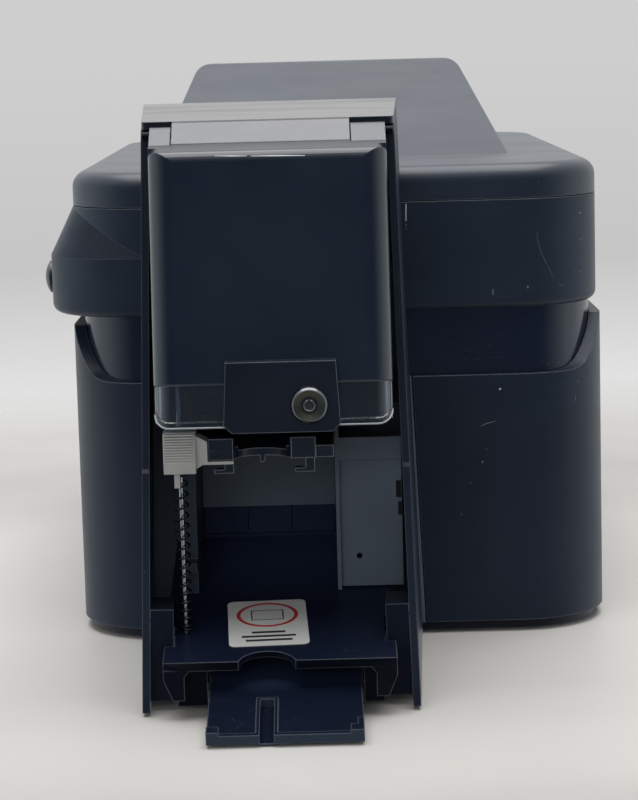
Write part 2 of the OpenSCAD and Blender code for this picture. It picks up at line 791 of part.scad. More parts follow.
module print_head() {
  color([0.80, 0.81, 0.80]) along_y(card_y - card_w / 2, card_y + card_w / 2)
    polygon(round_path([
      [platen_x - 9, card_z + 12], [platen_x - 9, card_z + 6], [platen_x - 1.6, card_z + 0.8],
      [platen_x + 1.6, card_z + 0.8], [platen_x + 9, card_z + 6], [platen_x + 9, card_z + 12]],
      [0, 1, 1.2, 1.2, 1, 0], 4));
}

// The board stands on spacers off the rear wall
board_l = 130;
board_h = 66;
board_t = 1.6;
spacer_l = 9;
board_y = port_y - spacer_l;

module circuit_board() {
  color([0.10, 0.32, 0.20]) {
    along_y(board_y - board_t, board_y) translate([board_x, port_z + 12]) plan(board_l, board_h, 3);
    for (x = [-1, 1], z = [-1, 1])
      rod_y(board_x + x * (board_l / 2 - 6), port_z + 12 + z * (board_h / 2 - 6), 3, board_y, port_y);
    for (c = [[-42, 20, 18, 12], [-6, 18, 24, 16], [30, 22, 14, 14], [44, -4, 10, 8], [-20, -6, 12, 10]])
      box([board_x + c[0] - c[2] / 2, board_y - board_t - 3, port_z + 12 + c[1] - c[3] / 2],
        [board_x + c[0] + c[2] / 2, board_y - board_t, port_z + 12 + c[1] + c[3] / 2]);
  }
}

module power_inlet() {
  color([0.05, 0.05, 0.06]) difference() {
    along_y(board_y, rear_y - 0.6) translate([board_x - 34, port_z]) plan(27, 20, 1.5);
    along_y(rear_y - 14, rear_y) translate([board_x - 34, port_z]) plan(22, 15.5, 3);
  }
  color([0.75, 0.75, 0.76]) for (x = [-6, 0, 6])
    box([board_x - 34 + x - 1, board_y + eps, port_z - 3], [board_x - 34 + x + 1, rear_y - 4, port_z + 3]);
}

module port_shell(x, w, h) {
  difference() {
    along_y(board_y, rear_y - 0.8) translate([x, port_z - 3]) plan(w, h, 0.8);
    along_y(rear_y - 10, rear_y) translate([x, port_z - 3]) plan(w - 2.4, h - 2.4, 0.4);
  }
}

module data_ports() {
  color([0.70, 0.71, 0.72]) {
    port_shell(board_x + 8, 12, 11);
    port_shell(board_x + 32, 16, 14);
  }
}

// Hopper, in its own frame: X is the distance from the body's end face

lean_angle = atan(hopper_lean);
taper_angle = atan(hopper_taper);
cap_slope = 4.2;
cap_l = 71;
function cap_top(p) = hopper_h - p * tan(cap_slope);
hinge_p = 74.5;
door_hinge_z = cap_top(cap_l) - 5.2;
tab_r = 3.2;
// Offsets of the slits between the cap's tongue and the door's end tabs
tongue_y0 = -37.4;
tongue_y1 = 32.2;
tongue_l = 14;

module hopper_back() {
  hw = function(z) hopper_hw(0, z) - hopper_t - fit_gap;
  top = hopper_h - hopper_t - fit_gap;
  color([0.10, 0.11, 0.14]) difference() {
    at_hopper() {
      along_x(0, hopper_t)
        polygon([[-hw(shell_z), shell_z], [hw(shell_z), shell_z], [hw(top), top], [-hw(top), top]]);
      // The foot of the panel fills the lower shell's recess and shows beside the hopper
      along_x(-shell_t - fit_gap, 0)
        polygon([[-hopper_hw(0, shell_z) - 1.5, shell_z], [hopper_hw(0, shell_z) + 1.5, shell_z],
          [hopper_hw(0, shell_end_z) + 0.5, shell_end_z], [-hopper_hw(0, shell_end_z) - 0.5, shell_end_z]]);
    }
    card_slots(end_x - 20, end_x + 20);
    at_hopper() for (y = [-1, 1], z = [18, 96]) rod_x(y * 46, z, 2, -10, 10);
    at_hopper() rod_x(40, 90, 2.2, 1, 10);
  }
}

// Near edge of the side walls: straight, with a step and a notched foot
module side_profile() {
  top = function(p) cap_top(p) - hopper_t - fit_gap;
  difference() {
    polygon(round_path(
      [[fit_gap, 1.5], [fit_gap, top(0)], [cap_l + 2, top(cap_l + 2)], [cap_l + 26, 92], [cap_l + 27.4, 90.6],
        [cap_l + 48, 8], [cap_l + 49, 1.5]],
      [0, 0, 5, 0, 1, 0, 0], 5));
    translate([cap_l + 37, 1]) square([4, 14], center = true);
  }
}

module lean_wall(s) {
  translate([0, s * (hopper_half - hopper_t), 0]) rotate([s * lean_angle, 0, -s * taper_angle])
    along_y(s > 0 ? 0 : -hopper_t, s > 0 ? hopper_t : 0) side_profile();
}

post_z = 40;
post_w = 9;
post_p0 = 90;
post_p1 = 112;

module hopper_side(s) {
  difference() {
    union() {
      lean_wall(s);
      // Square post at the foot
      translate([0, s * (hopper_half - hopper_t), 0]) rotate([s * lean_angle, 0, -s * taper_angle])
        box([post_p0, s > 0 ? -post_w : -eps, 4], [post_p1, s > 0 ? eps : post_w, post_z]);
    }
    rod_y(hinge_p, door_hinge_z, pin_r + run_gap, -80, 80);
    for (z = [72, 80]) box([62, s > 0 ? 30 : -80, z], [68, s > 0 ? 80 : -30, z + 6]);
  }
}

module hopper_side_front() {
  color([0.10, 0.12, 0.15]) at_hopper() hopper_side(-1);
}

lock_y = 13.6;
lock_z = 118.6;
plate_front = 116.8;
cam_t = 2;
cam_l = 24;
cam_p = plate_front - 18.5;

// The rear side also carries the strike that the lock's cam turns behind
strike_p = cam_p + cam_t + 1;
strike_w = 13;

module hopper_side_rear() {
  color([0.10, 0.12, 0.15]) at_hopper() {
    hopper_side(1);
    y1 = door_w / 2 - door_t - 1;
    z0 = lock_z - 7;
    z1 = lock_z + 7;
    box([strike_p, y1 - strike_w, z0], [strike_p + 2.5, y1, z1]);
    box([strike_p - 32, y1 - 2, z0], [strike_p + 2.5, y1, z1]);
    box([strike_p - 32, y1 - 2, z0], [strike_p - 29, hopper_hw(72, lock_z) - 1, z1]);
  }
}

module hopper_cap() {
  color([0.20, 0.22, 0.26]) at_hopper() {
    z0 = hopper_h;
    h0 = hopper_hw(0, hopper_h);
    h1 = hopper_hw(cap_l, hopper_h);
    translate([0, 0, z0]) rotate([0, cap_slope, 0]) translate([0, 0, -hopper_t]) linear_extrude(hopper_t)
      polygon(round_path([[0, -h0], [cap_l, -h1], [cap_l, h1], [0, h0]], [0, 2, 2, 0], 5));
    // The tongue bends down between the door's tabs
    z1 = cap_top(cap_l);
    along_y(tongue_y0 + 0.4, tongue_y1 - 0.4) polygon(round_path(
      [[cap_l - 6, cap_top(cap_l - 6)], [cap_l + 1, z1 - 0.2], [cap_l + tongue_l, z1 - 8.2],
        [cap_l + tongue_l, z1 - 10.4], [cap_l, z1 - hopper_t], [cap_l - 6, z1 - hopper_t + 0.4]],
      [0, 4, 0.8, 0, 3, 0], 5));
  }
}

ramp_t = 2.5;
function ramp_top(p) = ramp_z + (ramp_reach - p) * tan(ramp_angle);

channel_y0 = -channel_off - channel_w / 2;
channel_y1 = -channel_off + channel_w / 2;
guide_t = 3.2;
thin_guide_t = 1.6;
guide_l = 64;
guide_lift = 0.5;
guide_top = 206;
pick_p = 14;
pick_r = 8;
pick_z = card_z - pick_r - 1.2;

rod_p = 100;
rod_y_off = -36.8;
rod_head = 149.5;
platform_z = 96.5;
wing_drop = 2;
stop_z = platform_z - wing_drop - platform_travel - fit_gap;

// Side wall of the card channel; its foot follows the ramp
module guide_wall(y0, y1, p0) {
  difference() {
    along_y(y0, y1) polygon([[p0, ramp_top(p0) + guide_lift], [guide_l, ramp_top(guide_l) + guide_lift],
      [guide_l, guide_top], [p0, guide_top]]);
    rod_y(pick_p, pick_z, shaft_r + run_gap, y0 - 1, y1 + 1);
  }
}

// The front guide also carries the arm that holds the top of the guide rod
module card_guide_front() {
  color([0.16, 0.18, 0.22]) at_hopper() difference() {
    union() {
      guide_wall(channel_y0 - guide_t, channel_y0, hopper_t);
      guide_wall(channel_y0 - guide_t - 1.6, channel_y0 - guide_t + eps, guide_l - 3);
      box([guide_l - 3, rod_y_off - 2.8, rod_head - 3.5], [rod_p + 3, channel_y0 - 1, rod_head]);
      // Stop under the platform's wing
      box([guide_l - 3, channel_y0 - guide_t - 1.6, stop_z - 4], [guide_l + 9, channel_y0, stop_z]);
    }
    translate([rod_p, rod_y_off, 0]) cylinder(h = 200, r = rod_r + run_gap);
  }
}

// The rear guide turns out into a plate with a screw hole
plate_t = 2.4;
plate_p = guide_l - 5;
plate_z0 = ramp_top(plate_p) + guide_lift;
plate_z1 = 97;

module card_guide_rear() {
  color([0.20, 0.22, 0.26]) at_hopper() difference() {
    union() {
      guide_wall(channel_y1, channel_y1 + thin_guide_t, hopper_t);
      y1 = hopper_hw(plate_p, plate_z1) - hopper_t - 1;
      box([plate_p, channel_y1, plate_z0], [plate_p + plate_t, y1, plate_z1]);
      box([plate_p, channel_y1, plate_z1 - 9], [guide_l, y1, plate_z1]);
    }
    rod_x(channel_y1 + 9, plate_z0 + 12.3, 1.2, plate_p - 1, plate_p + 4);
  }
}

module pick_roller() {
  color([0.32, 0.31, 0.30]) at_hopper() {
    rod_y(pick_p, pick_z, shaft_r, channel_y0 - guide_t - 2, channel_y1 + guide_t + 2);
    for (y = [-1, 1]) rod_y(pick_p, pick_z, pick_r, -channel_off + y * 13 - 6, -channel_off + y * 13 + 6);
    rod_y(pick_p, pick_z, 4.4, channel_y0 + 1, channel_y1 - 1);
  }
}

lever_foot = 92;
rod_foot = ramp_top(rod_p) - ramp_t;
spring_z0 = ramp_top(rod_p) + 0.9;
spring_z1 = lever_foot - 0.3;
spring_r = rod_r + wire_d / 2 + 1.3;

module guide_rod() {
  color([0.78, 0.78, 0.77]) at_hopper() translate([rod_p, rod_y_off, rod_foot])
    cylinder(h = rod_head - rod_foot, r = rod_r);
}

// One unbroken wire; its pitch opens towards the top, and both end turns lie flat
rings_a_turn = 8;
wire_sides = 6;
wire_r = wire_d / 2;
spring_rings = spring_turns * rings_a_turn;
spring_free = spring_z1 - spring_z0 - wire_d;
closed_turn = wire_d + 0.5;
// Height of the wire after the share t of its turns: one closed turn at each end, an opening pitch between
function spring_rise(t) =
  let (u = t * spring_turns, v = min(1, max(0, (u - 1) / (spring_turns - 2))))
  wire_r + closed_turn * (min(u, 1) + max(0, u - spring_turns + 1))
    + (spring_free - 2 * closed_turn) * (0.82 * v + 0.18 * v * v);
function spring_point(i) =
  let (t = i / spring_rings, a = 360 * t * spring_turns)
  [spring_r * cos(a), spring_r * sin(a), spring_rise(t)];
function wire_ring(i) =
  let (c = spring_point(i), a = 360 * i / rings_a_turn, out = [cos(a), sin(a), 0])
  [for (k = [0:wire_sides - 1])
    c + wire_r * (cos(360 * k / wire_sides) * out + sin(360 * k / wire_sides) * [0, 0, 1])];
spring_gaps = [for (i = [0:spring_rings - rings_a_turn])
  norm(spring_point(i + rings_a_turn) - spring_point(i)) - wire_d];
echo(least_spring_gap = min(spring_gaps));

module lift_spring() {
  n = spring_rings;
  pts = [for (i = [0:n]) each wire_ring(i)];
  sides = [for (i = [0:n - 1], k = [0:wire_sides - 1]) let (
      a = i * wire_sides + k, b = i * wire_sides + (k + 1) % wire_sides)
    each [[a, b, b + wire_sides], [a, b + wire_sides, a + wire_sides]]];
  caps = [for (k = [1:wire_sides - 2]) each [[0, k + 1, k],
    [n * wire_sides, n * wire_sides + k, n * wire_sides + k + 1]]];
  color([0.30, 0.30, 0.31]) at_hopper() translate([rod_p, rod_y_off, spring_z0])
    polyhedron(points = pts, faces = concat(sides, caps));
}

// Platform: a tray with two square ears and a finger notch along its front edge
platform_gap = 0.5;
platform_p0 = 26;
platform_p1 = 106;
platform_t = 3;
ear_w = 10;
ear_y = 15.5;
ear_h = 104.6;
ear_y0 = -channel_off - ear_y - ear_w / 2;
shoulder_l = 8;

module ear(y) {
  box([platform_p1 - 5, y - ear_w / 2, platform_z], [platform_p1, y + ear_w / 2, ear_h]);
  // Hook below the ear
  box([platform_p1 - 5, y + 1, platform_z - 5.5], [platform_p1 - 1, y + 4.6, platform_z + eps]);
  box([platform_p1 - 5, y - 3, platform_z - 5.5], [platform_p1 - 1, y + 4.6, platform_z - 3.9]);
}

module card_platform() {
  y0 = -channel_off - channel_w / 2 + platform_gap;
  y1 = -channel_off + channel_w / 2 - platform_gap;
  yc = -channel_off;
  color([0.06, 0.07, 0.09]) at_hopper() difference() {
    union() {
      box([platform_p0, y0, platform_z], [platform_p1 - 4, y1, platform_z + platform_t]);
      for (y = [-1, 1]) ear(yc + y * ear_y);
      box([platform_p1 - 4, y0, platform_z], [platform_p1 - 1, y1, platform_z + platform_t + 1.6]);
      box([guide_l + 3, y0 - 8.5, platform_z - wing_drop],
        [lever_p0 - fit_gap, y0 + eps, platform_z + platform_t]);
      for (y = [-1, 0, 1]) box([platform_p0 + 16, yc + y * 18 - 1, platform_z - 2.6],
        [platform_p1 - 6, yc + y * 18 + 1, platform_z + eps]);
    }
    translate([platform_p1 + 3, yc, platform_z - 10]) cylinder(h = 30, r = 11.5);
    // Corner that the lever's shoulder fills
    box([platform_p1 - shoulder_l - fit_gap, y0 - 1, platform_z - 1], [platform_p1 + 1, ear_y0, ear_h]);
    // Edge beside the lever's block
    box([lever_p0 - fit_gap, y0 - 1, platform_z - 1], [platform_p1 + 1, lever_y1 + fit_gap, ear_h]);
  }
}

// Lever: ridged thumb face, bore for the guide rod, arm to the platform and a small prong
lever_y0 = -42.4;
lever_y1 = -30.2;
lever_p0 = 94.5;
lever_p1 = 112;
lever_top = 108.2;
ridge_pitch = 1.05;
ridge_foot = 4.6;
ridge_t = 0.5;
ridge_n = 1 + floor((lever_top - lever_foot - ridge_foot - ridge_t) / ridge_pitch);
arm_t = 1.1;

module lift_lever() {
  color([0.62, 0.62, 0.58]) at_hopper() difference() {
    union() {
      along_y(lever_y0, lever_y1) polygon(round_path(
        [[lever_p0, lever_foot], [lever_p1 - 1.5, lever_foot], [lever_p1, lever_foot + 4.4],
          [lever_p1 - 1, lever_top], [lever_p0, lever_top]], [0, 1, 1, 2.5, 2], 4));
      for (i = [0:ridge_n - 1])
        box([lever_p1 - 2, lever_y0 + 0.5, lever_foot + ridge_foot + i * ridge_pitch],
          [lever_p1 + 0.35, lever_y1 - 0.5, lever_foot + ridge_foot + ridge_t + i * ridge_pitch]);
      // Shoulder beside the platform's front ear, and the thin arm under it
      along_x(platform_p1 - shoulder_l, platform_p1 + 2) polygon(round_path(
        [[lever_y1 - 1, lever_foot + 1], [lever_y1 + 2.6, platform_z - fit_gap - arm_t],
          [ear_y0 - fit_gap, platform_z - fit_gap - arm_t], [ear_y0 - fit_gap, ear_h - 0.6],
          [lever_y1 - 1, lever_top - 1.4]], [0, 0, 0, 0.8, 0], 3));
      box([platform_p1 - 0.7, ear_y0 - 1, platform_z - fit_gap - arm_t],
        [platform_p1 + 2, ear_y0 + 9.6, platform_z - fit_gap]);
      // Prong that trips the card counter
      box([lever_p1 - 8, lever_y0 + 3.6, lever_foot - 6], [lever_p1 - 5.6, lever_y0 + 5.8, lever_foot + 1]);
    }
    translate([rod_p, rod_y_off, 0]) cylinder(h = 200, r = rod_r + run_gap);
  }
}

// Door

door_tilt = 9.4;
door_front = 115;
door_len = 104.4;
door_edge_r = 4.5;
door_rear = 79;
door_top_slope = 13;
lock_plate_y = 3.15;
lock_plate_in = 1.3;
skirt_in = 0.9;
// Top edge of the door's front face, and the top face that rises from it towards the body
top_p = door_front - door_len * sin(door_tilt);
top_z = door_z + door_len * cos(door_tilt);
function door_top(p) = top_z + (top_p - p) * tan(door_top_slope);
function door_face(z) = door_front - (z - door_z) * tan(door_tilt);

// The door's solid, drawn in by inset, between heights a and b along its leaning front face
module door_body(inset, a, b) {
  l = 90;
  e = door_edge_r - inset;
  lift = 0.04;
  d = inset / cos(door_tilt);
  intersection() {
    translate([door_front, 0, door_z]) rotate([0, -door_tilt, 0]) translate([-l / 2, 0, a])
      linear_extrude(b - a) plan(l - 2 * inset, door_w - 2 * inset, door_r - inset);
    translate([top_p, 0, top_z - inset + lift]) rotate([0, door_top_slope, 0]) translate([0, 0, -200])
      soft_block(2 * l, door_w - 2 * inset, 200, door_r, max(e, 1));
    along_y(-door_w, door_w) polygon(round_path(
      [[door_face(door_z - 60) - d, door_z - 60],
        [door_face(top_z) - d + inset * tan(door_tilt), top_z - inset],
        [door_rear - 30, door_top(door_rear - 30) - inset], [door_rear - 30, door_z - 60]],
      [0, max(e, 1), 0, 0], 6));
  }
}

module door_range() {
  box([door_rear, -door_w, door_z - 12], [door_front + 40, door_w, door_z + 140]);
}

module door_tab(y0, y1) {
  rod_y(hinge_p, door_hinge_z, tab_r, y0, y1);
  along_y(y0, y1) polygon([[hinge_p, door_hinge_z + tab_r], [hinge_p + 1.4, door_hinge_z + tab_r - 0.4],
    [86, door_top(86)], [90, door_top(90)], [90, door_top(90) - door_t], [84, door_top(84) - 4.5],
    [hinge_p, door_hinge_z - tab_r]]);
}

module hopper_door() {
  color([0.06, 0.07, 0.09], 0.9) at_hopper() difference() {
    union() {
      difference() {
        intersection() {
          door_body(0, skirt_h, 200);
          door_range();
        }
        door_body(door_t, -50, 300);
        // Room for the cap's tongue
        box([60, tongue_y0, door_z + 60], [cap_l + tongue_l + fit_gap, tongue_y1, door_z + 160]);
      }
      door_tab(-door_w / 2 + 0.2, tongue_y0);
      door_tab(tongue_y1, door_w / 2 - 0.2);
    }
    rod_y(hinge_p, door_hinge_z, pin_r + run_gap, -80, 80);
    lock_bore();
  }
}

module door_skirt() {
  color([0.18, 0.20, 0.22], 0.6) at_hopper() difference() {
    intersection() {
      union() {
        door_body(skirt_in, 0, skirt_h);
        door_body(skirt_in - 0.5, 0, 2.4);
      }
      door_range();
    }
    door_body(skirt_in + door_t - 0.4, -50, 300);
    lock_bore();
  }
}

module door_pins() {
  color([0.74, 0.74, 0.75]) at_hopper() {
    rod_y(hinge_p, door_hinge_z, pin_r, -hopper_hw(hinge_p, door_hinge_z) + 0.6, tongue_y0 - 0.6);
    rod_y(hinge_p, door_hinge_z, pin_r, tongue_y1 + 0.6, hopper_hw(hinge_p, door_hinge_z) - 0.6);
  }
}

barrel_r = 5.6;

module lock_bore() {
  rod_x(lock_y, lock_z, barrel_r + run_gap, 90, 140);
}

// Plate with clipped lower corners that fills the wedge in front of the door, narrower at its top
module lock_plate() {
  c = 3;
  z0 = lock_z - 10.4;
  y0 = lock_plate_y - lock_plate_w / 2;
  y1 = lock_plate_y + lock_plate_w / 2;
  color([0.09, 0.10, 0.13]) at_hopper() difference() {
    along_x(door_front - 6, plate_front) polygon(
      [[y0 + c, z0], [y1 - c, z0], [y1, z0 + c], [y1 - lock_plate_in, z0 + lock_plate_h],
        [y0 + lock_plate_in, z0 + lock_plate_h], [y0, z0 + c]]);
    door_body(0, -50, 300);
    lock_bore();
  }
}

lock_proud = 2.4;

// Puts the children on the lock plate's face, with Z pointing into the hopper's X
module on_lock() {
  at_hopper() translate([plate_front, lock_y, lock_z]) rotate([0, 90, 0]) children();
}

module lock_barrel() {
  f = lock_d / 2;
  color([0.80, 0.80, 0.80]) on_lock() difference() {
    rotate_extrude()
      polygon([[0, -14], [barrel_r, -14], [barrel_r, 0.05], [f, 0.05], [f, 0.9], [f - 1.1, lock_proud],
        [0, lock_proud]]);
    translate([0, 0, -20]) cylinder(h = 40, r = plug_r + run_gap);
  }
}

plug_r = 3.6;
keyway_r = 3.2;
keyway_in = 2.4;

module lock_plug() {
  color([0.70, 0.70, 0.70]) on_lock() difference() {
    translate([0, 0, -18.5]) cylinder(h = 18.5 + lock_proud - 0.2, r = plug_r);
    translate([0, 0, lock_proud - 4.2]) difference() {
      cylinder(h = 6, r = keyway_r);
      translate([0, 0, -1]) cylinder(h = 8, r = keyway_in);
    }
    translate([-keyway_r - 0.3, -0.5, lock_proud - 4.2]) cube([1.4, 1, 6]);
  }
}

module lock_cam() {
  color([0.66, 0.66, 0.64]) at_hopper() difference() {
    along_x(cam_p, cam_p + cam_t) union() {
      translate([lock_y, lock_z]) circle(5.4);
      translate([lock_y - 4, lock_z]) square([8, cam_l - 4]);
      translate([lock_y, lock_z + cam_l - 4]) circle(4);
    }
    rod_x(lock_y, lock_z, plug_r + run_gap / 2, cam_p - 1, cam_p + cam_t + 1);
  }
}

// Output ramp and tray

skirt_drop = 15;
ramp_back = hopper_t + fit_gap;

// Puts the children on the ramp's upper face, with X running down the slope from the lip backwards
module on_ramp() {
  translate([ramp_reach, 0, ramp_z]) rotate([0, ramp_angle, 0]) children();
}

ramp_run = (ramp_reach - ramp_back) / cos(ramp_angle) - ramp_t * tan(ramp_angle) - fit_gap;

module output_ramp() {
  yc = -channel_off;
  color([0.09, 0.10, 0.13]) at_hopper() difference() {
    union() {
      on_ramp() box([-ramp_run, -ramp_w / 2, -ramp_t], [0, ramp_w / 2, 0]);
      on_ramp() box([-ramp_t, -ramp_w / 2, -ramp_t - 1.2], [0, ramp_w / 2, 0]);
      for (s = [0, 1]) mirror([0, s, 0]) ramp_skirt();
      for (s = [0, 1]) mirror([0, s, 0])
        on_ramp() box([-62, ramp_w / 2 - 2, -ramp_t - 5], [-2, ramp_w / 2, -ramp_t + eps]);
    }
    on_ramp() translate([2.2, yc, -20]) cylinder(h = 40, r = notch_r);
    translate([rod_p, rod_y_off, 0]) cylinder(h = 80, r = rod_r + run_gap);
    // Notches round the posts of the side walls
    for (s = [0, 1]) mirror([0, s, 0])
      box([post_p0 - 1, hopper_hw(post_p0, post_z) - hopper_t - post_w - 1.2, 0], [post_p1 + 1, 80, 80]);
  }
}

// Cheek below each end of the lip, clipped at its outer lower corner
module ramp_skirt() {
  y0 = ramp_w / 2;
  along_x(ramp_reach - 3, ramp_reach - 0.6)
    polygon([[y0, ramp_z - 1], [y0, ramp_z - 7], [y0 - 3.4, ramp_z - skirt_drop],
      [y0 - 8, ramp_z - skirt_drop], [y0 - 8, ramp_z - 6], [y0 - 12, ramp_z - 1]]);
}

sticker_t = 0.3;
sticker_p = 93.5;
sticker_turn = 2.4;

module ramp_sticker() {
  color([0.86, 0.86, 0.82]) at_hopper() on_ramp()
    translate([-(ramp_reach - sticker_p) / cos(ramp_angle), -channel_off, 0]) rotate([0, 0, sticker_turn])
      linear_extrude(sticker_t) plan(sticker_l, sticker_w, 2.6);
}

tray_t = 2.4;
tray_l = 106;
stop_h = 2.6;
stop_l = 10;
slot_w = 5.2;
slot_l = 29.5;
slot_rim = 1.5;
// The top of the tray's stops stands furthest out, because the tray slopes
tray_front = tray_reach - (tray_t + stop_h) * sin(tray_angle);

// Puts the children on the tray's underside, with X zero at its front edge
module on_tray() {
  translate([tray_front, 0, tray_z]) rotate([0, tray_angle, 0]) children();
}

module output_tray() {
  yc = -channel_off;
  tray_y0 = tray_off - tray_w / 2;
  tray_y1 = tray_off + tray_w / 2;
  color([0.07, 0.09, 0.12]) at_hopper() on_tray() difference() {
    union() {
      box([-tray_l, tray_y0, 0], [0, tray_y1, tray_t]);
      box([-2.2, tray_y0, 0], [0, tray_y1, tray_t + 1.2]);
      box([-5, tray_y0, 0], [0, tray_y0 + 4.7, tray_t + stop_h]);
      box([-5, tray_y1 - 5, 0], [0, tray_y1, tray_t + stop_h]);
      box([-stop_l, tray_y1 - 2.4, 0], [0, tray_y1, tray_t + stop_h]);
      box([-slot_l - slot_rim, yc - slot_w / 2 - slot_rim, 0], [0, yc + slot_w / 2 + slot_rim, tray_t + 1.2]);
    }
    box([-slot_l, yc - slot_w / 2, -5], [5, yc + slot_w / 2, 20]);
  }
}

// Rails that hang from the ramp on both sides and hold the tray's edges; windows save material.
// They start where the pushed-in tray's front stops end, and close behind its rear edge.
rail_in = 3;
rail_gap = 0.4;
rail_lip = 2.6;
rail_x1 = -tray_travel - stop_l - fit_gap;
rail_x0 = -tray_l - tray_travel - fit_gap - 2;
function tray_p(x) = tray_front + x * cos(tray_angle);
function tray_under(p) = tray_z + (tray_front - p) * tan(tray_angle);
function ramp_under(p) = ramp_top(p) - ramp_t / cos(ramp_angle);

module tray_rail(s) {
  y0 = tray_w / 2 + rail_gap;
  p0 = tray_p(rail_x0);
  p1 = tray_p(rail_x1);
  mirror([0, s, 0]) {
    difference() {
      along_y(y0, y0 + rail_in) polygon([[p0, tray_under(p0) - 2], [p1, tray_under(p1) - 2],
        [p1, ramp_under(p1) - fit_gap], [p0, ramp_under(p0) - fit_gap]]);
      on_tray() for (i = [0:6])
        box([rail_x1 - 13 - i * 12, y0 - 1, tray_t + 2.4],
          [rail_x1 - 6 - i * 12, y0 + rail_in + 1, tray_t + 5.4]);
    }
    on_tray() {
      box([rail_x0 + 1, y0 - rail_lip, -2], [rail_x1 - 1, y0 + eps, -rail_gap]);
      box([rail_x0 + 1, y0 - rail_lip, tray_t + rail_gap], [rail_x1 - 1, y0 + eps, tray_t + rail_gap + 1.4]);
      box([rail_x0 + 1, y0 - rail_lip, -2], [rail_x0 + 2, y0 + eps, tray_t + rail_gap + 1.4]);
    }
  }
}

module tray_rails() {
  color([0.08, 0.09, 0.11]) at_hopper() translate([0, tray_off, 0]) {
    tray_rail(0);
    tray_rail(1);
  }
}

base_plate();
rubber_feet();
lower_shell();
inner_housing();
upper_housing();
control_bezel();
display_window();
panel_board();
button_near();
button_middle();
button_far();
top_cover();
cover_pins();
cover_tongue();
head_bracket();
print_head();
side_frames();
tie_bars();
feed_roller();
platen_roller();
cleaning_roller();
feed_gear();
idler_gear();
platen_gear();
drive_motor();
motor_pinion();
supply_spool();
takeup_spool();
circuit_board();
power_inlet();
data_ports();
hopper_back();
hopper_side_front();
hopper_side_rear();
hopper_cap();
card_guide_front();
card_guide_rear();
pick_roller();
guide_rod();
lift_spring();
card_platform();
lift_lever();
hopper_door();
door_skirt();
door_pins();
lock_plate();
lock_barrel();
lock_plug();
lock_cam();
output_ramp();
ramp_sticker();
output_tray();
tray_rails();
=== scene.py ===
import math

import bmesh
import bpy
from mathutils import Matrix, Vector


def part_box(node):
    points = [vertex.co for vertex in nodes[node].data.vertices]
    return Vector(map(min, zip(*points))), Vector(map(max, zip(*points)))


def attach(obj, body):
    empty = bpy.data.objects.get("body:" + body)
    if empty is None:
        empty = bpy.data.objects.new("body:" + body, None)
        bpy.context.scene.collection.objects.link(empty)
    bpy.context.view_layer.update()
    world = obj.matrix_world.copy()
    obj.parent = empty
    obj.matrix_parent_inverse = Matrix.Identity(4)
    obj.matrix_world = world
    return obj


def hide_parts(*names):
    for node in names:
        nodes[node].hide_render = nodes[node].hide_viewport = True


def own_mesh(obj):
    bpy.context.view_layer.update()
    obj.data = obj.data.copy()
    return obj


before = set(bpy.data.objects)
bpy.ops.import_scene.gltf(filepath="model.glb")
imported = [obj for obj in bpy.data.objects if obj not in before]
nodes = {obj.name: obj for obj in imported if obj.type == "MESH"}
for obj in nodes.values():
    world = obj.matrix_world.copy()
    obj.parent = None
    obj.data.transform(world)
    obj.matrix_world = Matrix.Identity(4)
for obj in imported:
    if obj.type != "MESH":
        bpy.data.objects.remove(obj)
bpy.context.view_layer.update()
print("frame loaded:", len(nodes), "pieces")

mm = 0.001


def linear(value):
    value = value / 255
    return value / 12.92 if value <= 0.04045 else ((value + 0.055) / 1.055) ** 2.4


def tone(red, green, blue):  # 8-bit screen colour to Blender's own
    return (linear(red), linear(green), linear(blue), 1.0)


# where the hopper stands: P runs out of the body's end, Q across, Z up
hopperPlace = {"endFace": 92.65, "centre": -22.25, "rampLip": 128, "rampHeight": 23, "rampAngle": 10.2}


def atHopper(p, q, z):
    return Vector(((hopperPlace["endFace"] + p) * mm, (hopperPlace["centre"] + q) * mm, z * mm))


# camera: places in metres, turns in radians, sensor in mm
cameraView = {"focalPixels": 2431.8, "place": (1.1140, -0.0046, 0.2543), "yaw": 0.0004, "pitch": 0.1471,
              "roll": -0.0265, "imageHeight": 800, "sensor": 36, "near": 0.05, "far": 50}


def makeCamera():
    yaw, pitch, roll = (cameraView[k] for k in ("yaw", "pitch", "roll"))
    ahead = Vector((-math.cos(yaw) * math.cos(pitch), -math.sin(yaw) * math.cos(pitch), -math.sin(pitch)))
    right = ahead.cross(Vector((0, 0, 1))).normalized()
    up = right.cross(ahead)
    c, s = math.cos(roll), math.sin(roll)
    right, up = c * right + s * up, c * up - s * right
    data = bpy.data.cameras.new("photoCamera")
    data.sensor_width = cameraView["sensor"]
    data.lens = cameraView["focalPixels"] / cameraView["imageHeight"] * cameraView["sensor"]
    data.clip_start, data.clip_end = cameraView["near"], cameraView["far"]
    camera = bpy.data.objects.new("photoCamera", data)
    bpy.context.scene.collection.objects.link(camera)
    turn = Matrix((right, up, -ahead)).transposed().to_4x4()
    camera.matrix_world = Matrix.Translation(cameraView["place"]) @ turn
    bpy.context.scene.camera = camera


makeCamera()
bpy.context.scene.view_settings.view_transform = "Standard"
print("camera placed")


# building blocks of the materials
def newMaterial(name):
    mat = bpy.data.materials.new(name)
    mat.use_nodes = True
    tree = mat.node_tree
    return mat, tree, tree.nodes["Principled BSDF"]


def node(tree, kind, **settings):
    made = tree.nodes.new(kind)
    for key, value in settings.items():
        if key.startswith("in_"):
            made.inputs[key[3:]].default_value = value
        else:
            setattr(made, key, value)
    return made


def link(tree, a, b):
    tree.links.new(a, b)


